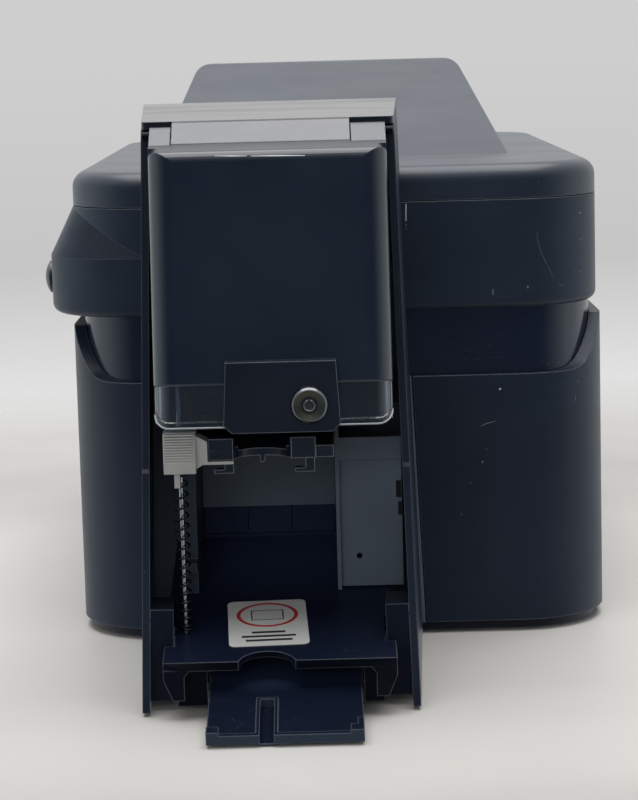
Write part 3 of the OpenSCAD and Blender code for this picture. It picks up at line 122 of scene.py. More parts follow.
def objectCoords(tree, scale=(1, 1, 1), turn=(0, 0, 0)):
    coords = node(tree, "ShaderNodeTexCoord")
    mapping = node(tree, "ShaderNodeMapping", in_Scale=scale, in_Rotation=turn)
    link(tree, coords.outputs["Object"], mapping.inputs["Vector"])
    return mapping.outputs["Vector"]


def noise(tree, scale, detail=3, rough=0.5, stretch=(1, 1, 1), turn=(0, 0, 0)):
    made = node(tree, "ShaderNodeTexNoise", in_Scale=scale, in_Detail=detail, in_Roughness=rough)
    link(tree, objectCoords(tree, stretch, turn), made.inputs["Vector"])
    return made.outputs["Fac"]


def splitXYZ(tree, vector):
    made = node(tree, "ShaderNodeSeparateXYZ")
    link(tree, vector, made.inputs[0])
    return made.outputs


def math1(tree, operation, a, b=0.0):
    made = node(tree, "ShaderNodeMath", operation=operation)
    for slot, value in ((0, a), (1, b)):
        if isinstance(value, (int, float)):
            made.inputs[slot].default_value = value
        else:
            link(tree, value, made.inputs[slot])
    return made.outputs[0]


def times(tree, a, b):
    return math1(tree, "MULTIPLY", a, b)


def remap(tree, value, low, high, toLow=0.0, toHigh=1.0):
    made = node(tree, "ShaderNodeMapRange", clamp=True)
    for key, number in (("From Min", low), ("From Max", high), ("To Min", toLow), ("To Max", toHigh)):
        made.inputs[key].default_value = number
    link(tree, value, made.inputs["Value"])
    return made.outputs["Result"]


def mixColour(tree, factor, a, b):
    made = node(tree, "ShaderNodeMix", data_type="RGBA")
    if isinstance(factor, (int, float)):
        made.inputs["Factor"].default_value = factor
    else:
        link(tree, factor, made.inputs["Factor"])
    for slot, value in ((6, a), (7, b)):
        if isinstance(value, tuple):
            made.inputs[slot].default_value = value
        else:
            link(tree, value, made.inputs[slot])
    return made.outputs[2]


def addBump(tree, shader, height, normal, strength, depth):
    bump = node(tree, "ShaderNodeBump", in_Strength=strength, in_Distance=depth)
    link(tree, height, bump.inputs["Height"])
    link(tree, normal, bump.inputs["Normal"])
    link(tree, bump.outputs[0], shader.inputs["Normal"])


edgeMask = {"samples": 4, "from": (0.99, 0.86)}


def softEdges(tree, radius):  # rounds hard edges in the shading, and gives a mask of them
    bevel = node(tree, "ShaderNodeBevel", samples=edgeMask["samples"], in_Radius=radius)
    geometry = node(tree, "ShaderNodeNewGeometry")
    dot = node(tree, "ShaderNodeVectorMath", operation="DOT_PRODUCT")
    link(tree, bevel.outputs[0], dot.inputs[0])
    link(tree, geometry.outputs["Normal"], dot.inputs[1])
    return bevel.outputs[0], remap(tree, dot.outputs["Value"], *edgeMask["from"])


def dustSpecks(tree, scale, size, share):
    cells = node(tree, "ShaderNodeTexVoronoi", in_Scale=scale)
    link(tree, objectCoords(tree), cells.inputs["Vector"])
    near = remap(tree, cells.outputs["Distance"], size, size * 0.5)
    split = node(tree, "ShaderNodeSeparateColor")
    link(tree, cells.outputs["Color"], split.inputs[0])
    return times(tree, near, math1(tree, "LESS_THAN", split.outputs[0], share))


# three sets of fine lines, each in its own patches
hairLines = {"turns": (0.5, 1.9, 2.7), "scale": 30, "stretch": (1.0, 1.0, 14.0), "width": 0.004, "patchScale": 9,
             "patchFrom": (0.56, 0.66)}


def hairScratches(tree, seed, amount):
    total = None
    for turn in hairLines["turns"]:
        lines = noise(tree, hairLines["scale"], 2, 0.5, hairLines["stretch"], (turn, 0.4 * seed, turn * seed))
        thin = math1(tree, "ABSOLUTE", math1(tree, "SUBTRACT", lines, 0.5))
        spread = noise(tree, hairLines["patchScale"] + turn, 1, 0.5, (1, 1, 1), (seed, turn, 0))
        line = times(tree, remap(tree, thin, hairLines["width"], 0.0), remap(tree, spread, *hairLines["patchFrom"]))
        total = line if total is None else math1(tree, "MAXIMUM", total, line)
    return times(tree, total, amount)


noiseBand = (0.3, 0.7)  # the span of a noise that shows as patches

# what moulded plastic has unless its own look says otherwise
# the edge wear keys make edges lighter: part edge wear, part painted edge highlight
plasticUsual = {"cloudScale": 14, "cloudDark": 0.82, "cloudPale": 1.14, "cloudLift": 0.0008, "edge": 0.5 * mm,
                "edgeWearAndHighlight": 0.4, "edgeWearAndHighlightScale": 60, "edgeWearAndHighlightLeast": 0.6, "edgeWearAndHighlightColour": tone(126, 134, 143), "edgeWearAndHighlightBeyond": None,
                "edgeWearAndHighlightFade": 5 * mm, "dust": 0.10, "dustScale": 210, "dustSize": 0.05, "scratches": 0, "seed": 1,
                "markColour": tone(104, 110, 118), "markRough": 0.2, "markHeight": 0.5, "wipe": (1, 1, 1),
                "wipeScale": 16, "smear": 0.07, "grain": 0.25, "grainScale": 1500, "grainDepth": 0.1 * mm,
                "specular": 0.5, "coat": 0.0, "coatRough": 0.1, "glow": 0.0, "glowReach": (0.002, 0.002, 0.0015),
                "frontPaintedLight": None, "frontPaintedLightFrom": (0.8, 0.95), "topPaintedShade": None, "topPaintedShadeFrom": (0.5, 0.65),
                "topLessEdgeWearAndHighlight": 0.75, "cornerPaintedShade": None, "cornerHaze": 0.32, "deepPaintedLight": None, "deepPaintedLightFrom": None}
cornerPaintedShadeFrom = {"out": (0.3, 0.72), "up": (0.12, 0.3), "flat": (0.9, 0.75)}


def paintedLightByFacing(tree, look, colour, wornAndLitEdges):
    facing = splitXYZ(tree, node(tree, "ShaderNodeNewGeometry").outputs["Normal"])
    haze = None
    if look["frontPaintedLight"]:  # painted light and shade on upright faces at the card end
        colour = mixColour(tree, remap(tree, facing[0], *look["frontPaintedLightFrom"]), colour, look["frontPaintedLight"])
    if look["topPaintedShade"]:  # painted shade on ledges; their edges get less edge wear and painted edge highlight
        ledge = remap(tree, facing[2], *look["topPaintedShadeFrom"])
        colour = mixColour(tree, ledge, colour, look["topPaintedShade"])
        wornAndLitEdges = times(tree, wornAndLitEdges, math1(tree, "SUBTRACT", 1.0, times(tree, ledge, look["topLessEdgeWearAndHighlight"])))
    if look["cornerPaintedShade"]:  # painted shade on slopes that turn the corner at the card end
        turning = times(tree, remap(tree, facing[0], *cornerPaintedShadeFrom["out"]), remap(tree, facing[2], *cornerPaintedShadeFrom["up"]))
        turning = times(tree, turning, remap(tree, facing[2], *cornerPaintedShadeFrom["flat"]))
        colour = mixColour(tree, turning, colour, look["cornerPaintedShade"])
        haze = times(tree, turning, look["cornerHaze"])
    return colour, wornAndLitEdges, haze


def paintedLightAndWearByReach(tree, look, colour, wornAndLitEdges):
    reach = splitXYZ(tree, node(tree, "ShaderNodeTexCoord").outputs["Object"])
    if look["deepPaintedLight"]:  # painted light where the part lies deep in shade
        colour = mixColour(tree, remap(tree, reach[0], *look["deepPaintedLightFrom"]), colour, look["deepPaintedLight"])
    if look["edgeWearAndHighlightBeyond"]:  # edge wear and painted edge highlight only at the outer end
        wornAndLitEdges = times(tree, wornAndLitEdges, remap(tree, reach[0], look["edgeWearAndHighlightBeyond"] - look["edgeWearAndHighlightFade"], look["edgeWearAndHighlightBeyond"]))
    return colour, wornAndLitEdges


def finishPlastic(name, look):
    look = {**plasticUsual, **look}
    mat, tree, shader = newMaterial(name)
    base = look["colour"][:3]
    cloudy = remap(tree, noise(tree, look["cloudScale"], 4, 0.6), *noiseBand)
    shade = tuple(c * look["cloudDark"] for c in base) + (1,)
    light = tuple(min(1, c * look["cloudPale"] + look["cloudLift"]) for c in base) + (1,)
    colour = mixColour(tree, cloudy, shade, light)
    normal, edges = softEdges(tree, look["edge"])
    # lighter edges: part edge wear, part painted edge highlight
    patchy = noise(tree, look["edgeWearAndHighlightScale"], 3)
    wornAndLitEdges = times(tree, edges, remap(tree, patchy, *noiseBand, look["edgeWearAndHighlightLeast"] * look["edgeWearAndHighlight"], look["edgeWearAndHighlight"]))
    haze = None
    if look["frontPaintedLight"] or look["topPaintedShade"] or look["cornerPaintedShade"]:
        colour, wornAndLitEdges, haze = paintedLightByFacing(tree, look, colour, wornAndLitEdges)
    if look["deepPaintedLight"] or look["edgeWearAndHighlightBeyond"]:
        colour, wornAndLitEdges = paintedLightAndWearByReach(tree, look, colour, wornAndLitEdges)
    colour = mixColour(tree, wornAndLitEdges, colour, look["edgeWearAndHighlightColour"])
    marks = dustSpecks(tree, look["dustScale"], look["dustSize"], look["dust"])
    if look["scratches"]:
        marks = math1(tree, "MAXIMUM", marks, hairScratches(tree, look["seed"], look["scratches"]))
    link(tree, mixColour(tree, marks, colour, look["markColour"]), shader.inputs["Base Color"])
    wiped = remap(tree, noise(tree, look["wipeScale"], 4, 0.6, look["wipe"]), *noiseBand)
    rough = math1(tree, "ADD", remap(tree, wiped, 0, 1, -look["smear"], look["smear"]), look["rough"])
    rough = math1(tree, "ADD", rough, times(tree, marks, look["markRough"]))
    if haze is not None:
        rough = math1(tree, "ADD", rough, haze)
    link(tree, rough, shader.inputs["Roughness"])
    height = math1(tree, "SUBTRACT", noise(tree, look["grainScale"], 3, 0.6), times(tree, marks, look["markHeight"]))
    addBump(tree, shader, height, normal, look["grain"], look["grainDepth"])
    for socket, key in (("Specular IOR Level", "specular"), ("Coat Weight", "coat"), ("Coat Roughness", "coatRough"),
                        ("Subsurface Weight", "glow"), ("Subsurface Radius", "glowReach")):
        shader.inputs[socket].default_value = look[key]
    return mat


clearUsual = {"edge": 0.4 * mm, "hazeScale": 22, "hazeFrom": (0.35, 0.75), "hazeRough": 0.08, "markRough": 0.3,
              "edgeWearAndHighlightColour": tone(112, 120, 128), "markColour": tone(96, 104, 114), "ripple": 0.06,
              "rippleScale": 400, "rippleDepth": 0.1 * mm, "bending": 1.49}


def finishClear(name, look):  # smoked or clear moulded plastic that light passes
    look = {**clearUsual, **look}
    mat, tree, shader = newMaterial(name)
    normal, edges = softEdges(tree, look["edge"])
    marks = hairScratches(tree, look["seed"], look["scratches"])
    haze = remap(tree, noise(tree, look["hazeScale"], 4, 0.6), *look["hazeFrom"])
    colour = mixColour(tree, haze, look["colour"], look["hazeColour"])
    # lighter edges: part edge wear, part painted edge highlight
    colour = mixColour(tree, times(tree, edges, look["edgeWearAndHighlight"]), colour, look["edgeWearAndHighlightColour"])
    link(tree, mixColour(tree, marks, colour, look["markColour"]), shader.inputs["Base Color"])
    rough = math1(tree, "ADD", remap(tree, haze, 0, 1, 0.0, look["hazeRough"]), look["rough"])
    link(tree, math1(tree, "ADD", rough, times(tree, marks, look["markRough"])), shader.inputs["Roughness"])
    addBump(tree, shader, noise(tree, look["rippleScale"], 2), normal, look["ripple"], look["rippleDepth"])
    shader.inputs["Transmission Weight"].default_value = look["clear"]
    shader.inputs["IOR"].default_value = look["bending"]
    return mat


metalUsual = {"grainScale": 900, "grainFrom": (0.2, 0.8), "stretch": (1, 1, 0.04), "patchScale": 40,
              "patchFrom": (0.3, 0.75), "patchDark": 0.78, "smear": (-0.06, 0.10), "edge": 0.25 * mm, "bump": 0.08,
              "bumpDepth": 0.05 * mm}


def finishMetal(name, look):
    look = {**metalUsual, **look}
    mat, tree, shader = newMaterial(name)
    shader.inputs["Metallic"].default_value = 1.0
    grain = noise(tree, look["grainScale"], 4, 0.6, look["stretch"])
    patch = remap(tree, noise(tree, look["patchScale"], 3), *look["patchFrom"])
    dark = tuple(c * look["patchDark"] for c in look["colour"][:3]) + (1,)
    link(tree, mixColour(tree, patch, dark, look["colour"]), shader.inputs["Base Color"])
    rough = math1(tree, "ADD", remap(tree, grain, *look["grainFrom"], *look["smear"]), look["rough"])
    link(tree, rough, shader.inputs["Roughness"])
    normal, _ = softEdges(tree, look["edge"])
    addBump(tree, shader, grain, normal, look["bump"], look["bumpDepth"])
    return mat


# finishes, one for each kind of surface
shellLook = {"colour": tone(27, 36, 50), "rough": 0.42, "grain": 0.22, "dust": 0.05, "scratches": 0.09, "seed": 1.3,
             "edgeWearAndHighlight": 0.9, "specular": 0.25, "edge": 0.6 * mm}
shellPlastic = finishPlastic("shellPlastic", shellLook)
# the housing's corner slopes at the card end carry painted shade
housingPlastic = finishPlastic("housingPlastic", {**shellLook, "colour": tone(32, 42, 56), "seed": 1.9,
                                                   "cornerPaintedShade": tone(18, 27, 40)})
coverPlastic = finishPlastic("coverPlastic", {**shellLook, "colour": tone(33, 42, 55), "rough": 0.36, "seed": 2.1,
                                              "dust": 0.12, "scratches": 0.12, "wipe": (2, 1, 1), "smear": 0.035,
                                              "specular": 0.45, "edge": 0.5 * mm})
# painted shade on its upright faces at the card end and on its ledges
wallPlastic = finishPlastic("hopperWallPlastic", {**shellLook, "colour": tone(25, 33, 45), "rough": 0.38, "seed": 3.7,
                                                  "edgeWearAndHighlight": 0.6, "specular": 0.14, "frontPaintedLight": tone(14, 20, 33),
                                                  "frontPaintedLightFrom": (0.985, 0.996), "topPaintedShade": tone(12, 17, 27)})
innerGloss = finishPlastic("innerHousingGloss", {"colour": tone(18, 25, 42), "rough": 0.2, "grain": 0.06, "dust": 0.06,
                                                 "scratches": 0.2, "seed": 4.4, "edgeWearAndHighlight": 0.1})
capGloss = finishPlastic("hopperCapGloss", {"colour": tone(24, 29, 36), "rough": 0.15, "grain": 0.08, "dust": 0.15,
                                            "scratches": 0.4, "seed": 5.2, "edgeWearAndHighlight": 0.4, "wipe": (4, 1, 1)})
backPlastic = finishPlastic("hopperBackPlastic", {"colour": tone(84, 95, 107), "rough": 0.4, "grain": 0.2,
                                                  "dust": 0.06, "scratches": 0.2, "seed": 6.1, "specular": 0.3})
plateGrey = finishPlastic("innerPlateGrey", {"colour": tone(78, 87, 98), "rough": 0.4, "grain": 0.2, "dust": 0.05,
                                             "scratches": 0.2, "seed": 6.9, "specular": 0.3,
                                             "edgeWearAndHighlightColour": tone(120, 127, 136)})
# painted light deep in the channel, painted shade on its upright faces at the card end, edge wear and painted edge
# highlight only at the outer end
rampPlastic = finishPlastic("rampPlastic", {"colour": tone(12, 19, 35), "rough": 0.32, "grain": 0.15, "dust": 0.05,
                                            "scratches": 0.2, "seed": 7.3, "specular": 0.1, "edgeWearAndHighlight": 0.8,
                                            "edgeWearAndHighlightColour": tone(128, 136, 142), "edge": 0.6 * mm,
                                            "deepPaintedLight": tone(42, 51, 78), "deepPaintedLightFrom": (0.17, 0.115),
                                            "edgeWearAndHighlightBeyond": 0.2, "frontPaintedLight": tone(8, 13, 23)})
# dark finish of the card mouth's flap and sill: painted shade
mouthShadeSheet = finishPlastic("mouthShadeSheet", {"colour": tone(25, 36, 60), "rough": 0.45, "grain": 0.2, "dust": 0.05,
                                            "edgeWearAndHighlightColour": tone(30, 38, 52), "edge": 0.1 * mm, "specular": 0.3})
# its upright faces at the card end carry painted shade
guideNavy = finishPlastic("cardGuideNavy", {"colour": tone(46, 55, 68), "rough": 0.4, "grain": 0.2, "dust": 0.05,
                                            "scratches": 0.2, "seed": 6.4, "specular": 0.25, "edge": 0.7 * mm,
                                            "edgeWearAndHighlight": 0.8, "edgeWearAndHighlightColour": tone(84, 94, 106),
                                            "frontPaintedLight": tone(44, 53, 66)})
# light line finishes on the clear skirt and the door's foot: painted highlights
skirtHighlightFinish = finishPlastic("skirtHighlightFinish", {"colour": tone(136, 143, 149), "rough": 0.2, "grain": 0.05, "dust": 0.0,
                                      "edgeWearAndHighlightColour": tone(160, 166, 170), "edge": 0.1 * mm, "coat": 0.4})
doorFootHighlightFinish = finishPlastic("doorFootHighlightFinish", {"colour": tone(84, 92, 100), "rough": 0.3, "grain": 0.05, "dust": 0.0,
                                    "edgeWearAndHighlightColour": tone(100, 108, 114), "edge": 0.1 * mm})
# painted light on its upright faces at the card end, and painted light on its part deep under the ramp
trayPlastic = finishPlastic("trayPlastic", {"colour": tone(10, 17, 32), "rough": 0.48, "grain": 0.2, "dust": 0.04,
                                            "scratches": 0.18, "seed": 8.8, "edgeWearAndHighlight": 1.0, "specular": 0.04,
                                            "edge": 0.7 * mm, "edgeWearAndHighlightColour": tone(112, 120, 130),
                                            "deepPaintedLight": tone(32, 43, 64), "deepPaintedLightFrom": (0.221, 0.207),
                                            "frontPaintedLight": tone(46, 56, 69)})
platformPlastic = finishPlastic("platformPlastic", {"colour": tone(18, 25, 38), "rough": 0.28, "grain": 0.15,
                                                    "dust": 0.06, "scratches": 0.2, "seed": 9.4, "edgeWearAndHighlight": 1.0,
                                                    "edge": 0.65 * mm, "edgeWearAndHighlightColour": tone(150, 158, 164)})
basePlastic = finishPlastic("basePlastic", {"colour": tone(14, 18, 26), "rough": 0.5, "grain": 0.3, "dust": 0.12,
                                            "specular": 0.3})
panelGloss = finishPlastic("panelGloss", {"colour": tone(13, 17, 24), "rough": 0.16, "grain": 0.05, "dust": 0.08})
buttonPlastic = finishPlastic("buttonPlastic", {"colour": tone(27, 34, 44), "rough": 0.34, "grain": 0.2, "dust": 0.05})
leverPlastic = finishPlastic("leverPlastic", {"colour": tone(162, 163, 160), "rough": 0.48, "grain": 0.2,
                                              "dust": 0.05, "edgeWearAndHighlightColour": tone(190, 188, 182), "edgeWearAndHighlight": 0.4,
                                              "glow": 0.15, "edge": 0.25 * mm})
lockPlate = finishPlastic("lockPlatePlastic", {"colour": tone(20, 26, 38), "rough": 0.36, "grain": 0.25, "dust": 0.08,
                                               "edgeWearAndHighlight": 1.0, "edgeWearAndHighlightColour": tone(146, 152, 160), "edge": 0.5 * mm,
                                               "specular": 0.25})
gearNylon = finishPlastic("gearNylon", {"colour": tone(222, 220, 208), "rough": 0.45, "grain": 0.1, "dust": 0.0,
                                        "glow": 0.2, "edgeWearAndHighlightColour": tone(240, 238, 228), "edge": 0.1 * mm})
boardGreen = finishPlastic("circuitBoardGreen", {"colour": tone(26, 84, 52), "rough": 0.3, "grain": 0.1,
                                                 "edgeWearAndHighlightColour": tone(150, 150, 100), "edge": 0.2 * mm})
rubberFoot = finishPlastic("rubberFoot", {"colour": tone(26, 27, 31), "rough": 0.8, "grain": 0.5, "dust": 0.2,
                                          "specular": 0.3})
rollerRubber = finishPlastic("rollerRubber", {"colour": tone(62, 62, 64), "rough": 0.7, "grain": 0.5,
                                              "grainScale": 900, "dust": 0.2, "specular": 0.35})
cleaningRubber = finishPlastic("cleaningRubber", {"colour": tone(196, 204, 186), "rough": 0.3, "grain": 0.1,
                                                  "edgeWearAndHighlightColour": tone(214, 220, 205)})
ribbonFilm = finishPlastic("ribbonFilm", {"colour": tone(38, 36, 66), "rough": 0.22, "grain": 0.1, "dust": 0.0,
                                          "coat": 0.6})
frameSteel = finishMetal("frameSteel", {"colour": tone(178, 180, 184), "rough": 0.32})
headMetal = finishMetal("headMetal", {"colour": tone(206, 206, 204), "rough": 0.26})
pinSteel = finishMetal("pinSteel", {"colour": tone(206, 206, 204), "rough": 0.18, "stretch": (1, 1, 1)})
lockChrome = finishMetal("lockChrome", {"colour": tone(168, 168, 168), "rough": 0.16, "stretch": (1, 1, 1),
                                        "bump": 0.05, "edge": 0.2 * mm})
springWire = finishMetal("springWire", {"colour": tone(44, 47, 54), "rough": 0.4, "edge": 0.05 * mm})
pinDark = finishMetal("pinDark", {"colour": tone(30, 34, 42), "rough": 0.5, "stretch": (1, 1, 1)})
motorMetal = finishMetal("motorMetal", {"colour": tone(160, 161, 163), "rough": 0.3})
pinionBrass = finishMetal("pinionBrass", {"colour": tone(205, 172, 96), "rough": 0.25, "edge": 0.1 * mm})
smokedDoor = finishClear("smokedDoor", {"colour": tone(20, 29, 42), "hazeColour": tone(26, 35, 48), "rough": 0.18,
                                        "clear": 0.12, "seed": 1.7, "scratches": 0.07, "edgeWearAndHighlight": 0.8})
clearSkirt = finishClear("clearSkirt", {"colour": tone(128, 142, 158), "hazeColour": tone(118, 132, 148),
                                        "rough": 0.06, "clear": 0.97, "seed": 2.9, "scratches": 0.12,
                                        "edgeWearAndHighlight": 0.35})
displayGlass = finishClear("displayGlass", {"colour": tone(26, 32, 32), "hazeColour": tone(30, 36, 36), "rough": 0.06,
                                            "clear": 0.1, "seed": 4.2, "scratches": 0.3, "edgeWearAndHighlight": 0.2})
stickerWhite = finishPlastic("stickerWhite", {"colour": tone(185, 188, 184), "rough": 0.42, "grain": 0.08,
                                              "dust": 0.1, "edgeWearAndHighlightColour": tone(160, 160, 154), "edge": 0.2 * mm})
stickerRed = finishPlastic("stickerRed", {"colour": tone(168, 44, 48), "rough": 0.4, "grain": 0.05, "dust": 0.0,
                                          "edgeWearAndHighlightColour": tone(190, 80, 80), "edge": 0.05 * mm})
stickerInk = finishPlastic("stickerInk", {"colour": tone(40, 36, 38), "rough": 0.4, "grain": 0.05, "dust": 0.0,
                                          "edge": 0.05 * mm})
flangeChrome = finishMetal("flangeChrome", {"colour": tone(102, 104, 108), "rough": 0.24, "stretch": (1, 1, 1),
                                            "bump": 0.05, "edge": 0.2 * mm})
lockNickel = finishMetal("lockNickel", {"colour": tone(106, 105, 90), "rough": 0.34, "stretch": (1, 1, 1),
                                        "grainScale": 2400, "bump": 0.1, "edge": 0.1 * mm})
# flat dark pieces that stand for the shade in deep holes: painted shade
paintedHoleShade = finishPlastic("paintedHoleShade", {"colour": tone(8, 9, 11), "rough": 0.5, "grain": 0.1, "dust": 0.0})
# the glint tone is a painted highlight; the other tones are rubbed marks
scuffAndGlintTones = {"glint": (205, 208, 210), "bright": (178, 182, 184), "soft": (104, 112, 120), "faint": (68, 78, 86)}
scuffAndGlintFinishes = {k: finishPlastic(k + "Scuff", {"colour": tone(*v), "rough": 0.6, "grain": 0.3, "dust": 0.0,
                                         "edgeWearAndHighlightColour": tone(*v), "edge": 0.02 * mm}) for k, v in scuffAndGlintTones.items()}

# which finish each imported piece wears
wears = {
    "lower_shell": shellPlastic, "upper_housing": housingPlastic, "top_cover": coverPlastic,
    "hopper_side_front": wallPlastic, "hopper_side_rear": wallPlastic, "inner_housing": innerGloss,
    "hopper_cap": capGloss, "hopper_back": backPlastic, "card_guide_front": guideNavy,
    "card_guide_rear": plateGrey, "output_ramp": rampPlastic, "output_tray": trayPlastic, "tray_rails": rampPlastic,
    "card_platform": platformPlastic, "base_plate": basePlastic, "control_bezel": panelGloss,
    "power_inlet": panelGloss, "button_near": buttonPlastic, "button_middle": buttonPlastic,
    "button_far": buttonPlastic, "cover_tongue": basePlastic, "lift_lever": leverPlastic, "lock_plate": lockPlate,
    "feed_gear": gearNylon, "idler_gear": gearNylon, "platen_gear": gearNylon, "circuit_board": boardGreen,
    "panel_board": boardGreen, "rubber_feet": rubberFoot, "feed_roller": rollerRubber,
    "platen_roller": rollerRubber, "pick_roller": rollerRubber, "cleaning_roller": cleaningRubber,
    "supply_spool": ribbonFilm, "takeup_spool": ribbonFilm, "side_frames": frameSteel, "tie_bars": pinSteel,
    "head_bracket": frameSteel, "data_ports": frameSteel, "lock_cam": frameSteel, "print_head": headMetal,
    "cover_pins": pinSteel, "door_pins": pinDark, "guide_rod": pinSteel, "lock_barrel": lockChrome,
    "lock_plug": lockChrome, "drive_motor": motorMetal, "motor_pinion": pinionBrass, "hopper_door": smokedDoor,
    "door_skirt": clearSkirt, "display_window": displayGlass, "ramp_sticker": stickerWhite,
}


def dress(piece, material, angle=28):
    piece.data.materials.clear()
    piece.data.materials.append(material)
    piece.data.polygons.foreach_set("use_smooth", [True] * len(piece.data.polygons))
    piece.data.set_sharp_from_angle(angle=math.radians(angle))


def evenFlats(piece):  # large flat faces keep their own direction in the shading, beside rounded corners
    weighted = piece.modifiers.new("evenFlats", "WEIGHTED_NORMAL")
    weighted.mode, weighted.weight, weighted.keep_sharp = "FACE_AREA", 50, True


for name, material in wears.items():
    dress(nodes[name], material)
evenFlats(nodes["upper_housing"])
print("finishes on", len(wears), "pieces")


# mesh helpers
def meshPiece(name, verts, faces, material, body, slot, angle=28):
    mesh = bpy.data.meshes.new(name)
    mesh.from_pydata([tuple(v) for v in verts], [], faces)
    mesh.validate()
    bm = bmesh.new()
    bm.from_mesh(mesh)
    bmesh.ops.recalc_face_normals(bm, faces=bm.faces)
    bm.to_mesh(mesh)
    bm.free()
    piece = bpy.data.objects.new(name, mesh)
    bpy.context.scene.collection.objects.link(piece)
    dress(piece, material, angle)
    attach(piece, body)
    return piece


def ringFaces(rings, sides, capped=True, start=0):  # faces between rings of points, and over the two ends
    faces = []
    for i in range(rings - 1):
        for k in range(sides):
            a, b = start + i * sides + k, start + i * sides + (k + 1) % sides
            faces.append((a, b, b + sides, a + sides))
    if capped:
        last = start + (rings - 1) * sides
        faces += [tuple(range(start + sides - 1, start - 1, -1)), tuple(range(last, last + sides))]
    return faces


def sweepTube(points, radius, sides):
    verts = []
    for i, p in enumerate(points):
        a, b = points[max(i - 1, 0)], points[min(i + 1, len(points) - 1)]
        along = (b - a).normalized()
        side = along.cross(Vector((0, 0, 1))).normalized()
        top = side.cross(along)
        for k in range(sides):
            turn = 2 * math.pi * k / sides
            verts.append(p + radius * (math.cos(turn) * side + math.sin(turn) * top))
    return verts, ringFaces(len(points), sides)


def oblong(a0, a1, b0, b1):  # its four corners in order
    return [(a0, b0), (a1, b0), (a1, b1), (a0, b1)]


def boxMesh(corners, name, material, body, slot):  # eight corners, the low four first
    return meshPiece(name, corners, ringFaces(2, 4), material, body, slot)


# lift spring: a round wire whose end turns sit closed
liftSpring = {"rodP": 100, "rodQ": -36.8, "foot": 28.94, "top": 91.7, "turns": 18, "wire": 0.8, "coil": 2.6,
              "ringsPerTurn": 20, "sides": 8, "endGap": 0.5, "evenShare": 0.82, "lateShare": 0.18,
              "solidShare": 0.285}


def makeSpring():
    s = liftSpring
    free = s["top"] - s["foot"] - s["wire"]
    closed = s["wire"] + s["endGap"]  # rise of the first turn and of the last
    points = []
    count = s["turns"] * s["ringsPerTurn"]
    for i in range(count + 1):
        u = i / count * s["turns"]
        v = min(1, max(0, (u - 1) / (s["turns"] - 2)))
        rise = s["wire"] / 2 + closed * (min(u, 1) + max(0, u - s["turns"] + 1))
        rise += (free - 2 * closed) * (s["evenShare"] * v + s["lateShare"] * v * v)
        turn = 2 * math.pi * u
        points.append(atHopper(s["rodP"] + s["coil"] * math.cos(turn), s["rodQ"] + s["coil"] * math.sin(turn),
                               s["foot"] + rise))
    verts, faces = sweepTube(points, s["wire"] / 2 * mm, s["sides"])
    spring = meshPiece("springCoil", verts, faces, springWire, "body", "spring", 60)
    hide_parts("lift_spring")
    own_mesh(spring)


makeSpring()
print("spring wound")

# print on the ramp's sticker: along runs down the ramp, across runs with Q
stickerArt = {"along": 93.5, "across": -5, "thick": 0.3, "ringLong": 11.6, "ringWide": 12.1, "ringBand": 1.5,
              "ringShift": -7.4, "ringSides": 72, "barShifts": (9.2, 12.9, 16.6), "barLengths": (13, 21, 18),
              "barHalf": 0.9, "cardStart": -12.0, "cardEnd": -2.6, "cardHalf": 6.4, "cardLine": 0.5,
              "proud": 0.04, "sunk": 0.02, "turn": 2.4}


def onSticker(along, across, lift):
    angle = math.radians(hopperPlace["rampAngle"])
    c, s = math.cos(math.radians(stickerArt["turn"])), math.sin(math.radians(stickerArt["turn"]))
    along, across = c * along - s * across, s * along + c * across
    reach = hopperPlace["rampLip"] - stickerArt["along"]
    x = -reach / math.cos(angle) + along
    z = stickerArt["thick"] + lift
    p = hopperPlace["rampLip"] + x * math.cos(angle) + z * math.sin(angle)
    height = hopperPlace["rampHeight"] - x * math.sin(angle) + z * math.cos(angle)
    return atHopper(p, stickerArt["across"] + across, height)


def slab(outline, name, material, inner=None):
    verts, faces = [], []
    n = len(outline)
    loops = [outline] + ([inner] if inner else [])
    for lift in (-stickerArt["sunk"], stickerArt["proud"]):
        for loop in loops:
            verts += [onSticker(a, b, lift) for a, b in loop]
    rows = len(loops) * n
    if inner:
        for k in range(n):
            j = (k + 1) % n
            faces += [(rows + k, rows + j, rows + n + j, rows + n + k), (k, n + k, n + j, j),
                      (k, j, rows + j, rows + k), (n + k, rows + n + k, rows + n + j, n + j)]
    else:
        faces = ringFaces(2, n)
    return meshPiece(name, verts, faces, material, "body", "sticker")


def makeStickerPrint():
    art = stickerArt
    turns = [2 * math.pi * k / art["ringSides"] for k in range(art["ringSides"])]
    outer, inner = ([(art["ringShift"] + (art["ringLong"] - band) * math.cos(t),
                      (art["ringWide"] - band) * math.sin(t)) for t in turns] for band in (0, art["ringBand"]))
    slab(outer, "stickerRing", stickerRed, inner)
    for k, (shift, length) in enumerate(zip(art["barShifts"], art["barLengths"])):
        bar = oblong(shift - art["barHalf"], shift + art["barHalf"], -length / 2, length / 2)
        slab(bar, "stickerBar%d" % k, stickerInk)
    outer, inner = (oblong(art["cardStart"] + line, art["cardEnd"] - line, line - art["cardHalf"],
                           art["cardHalf"] - line) for line in (0, art["cardLine"]))
    slab(outer, "stickerCard", stickerInk, inner)


makeStickerPrint()
print("sticker printed")

# ribbon between the two spools, seen from the side as (X, Z)
ribbonWeb = {"supplyEnd": (31.25, 124.1), "takeupEnd": (-66.65, 130.9), "under": (-17.65, 104.2),
             "dip": ((8, 5.6), (2.5, 0.6), (0, 0), (-2.5, 0.6), (-8, 5.6)), "nearY": -54.2, "farY": -0.2,
             "thick": 0.06}


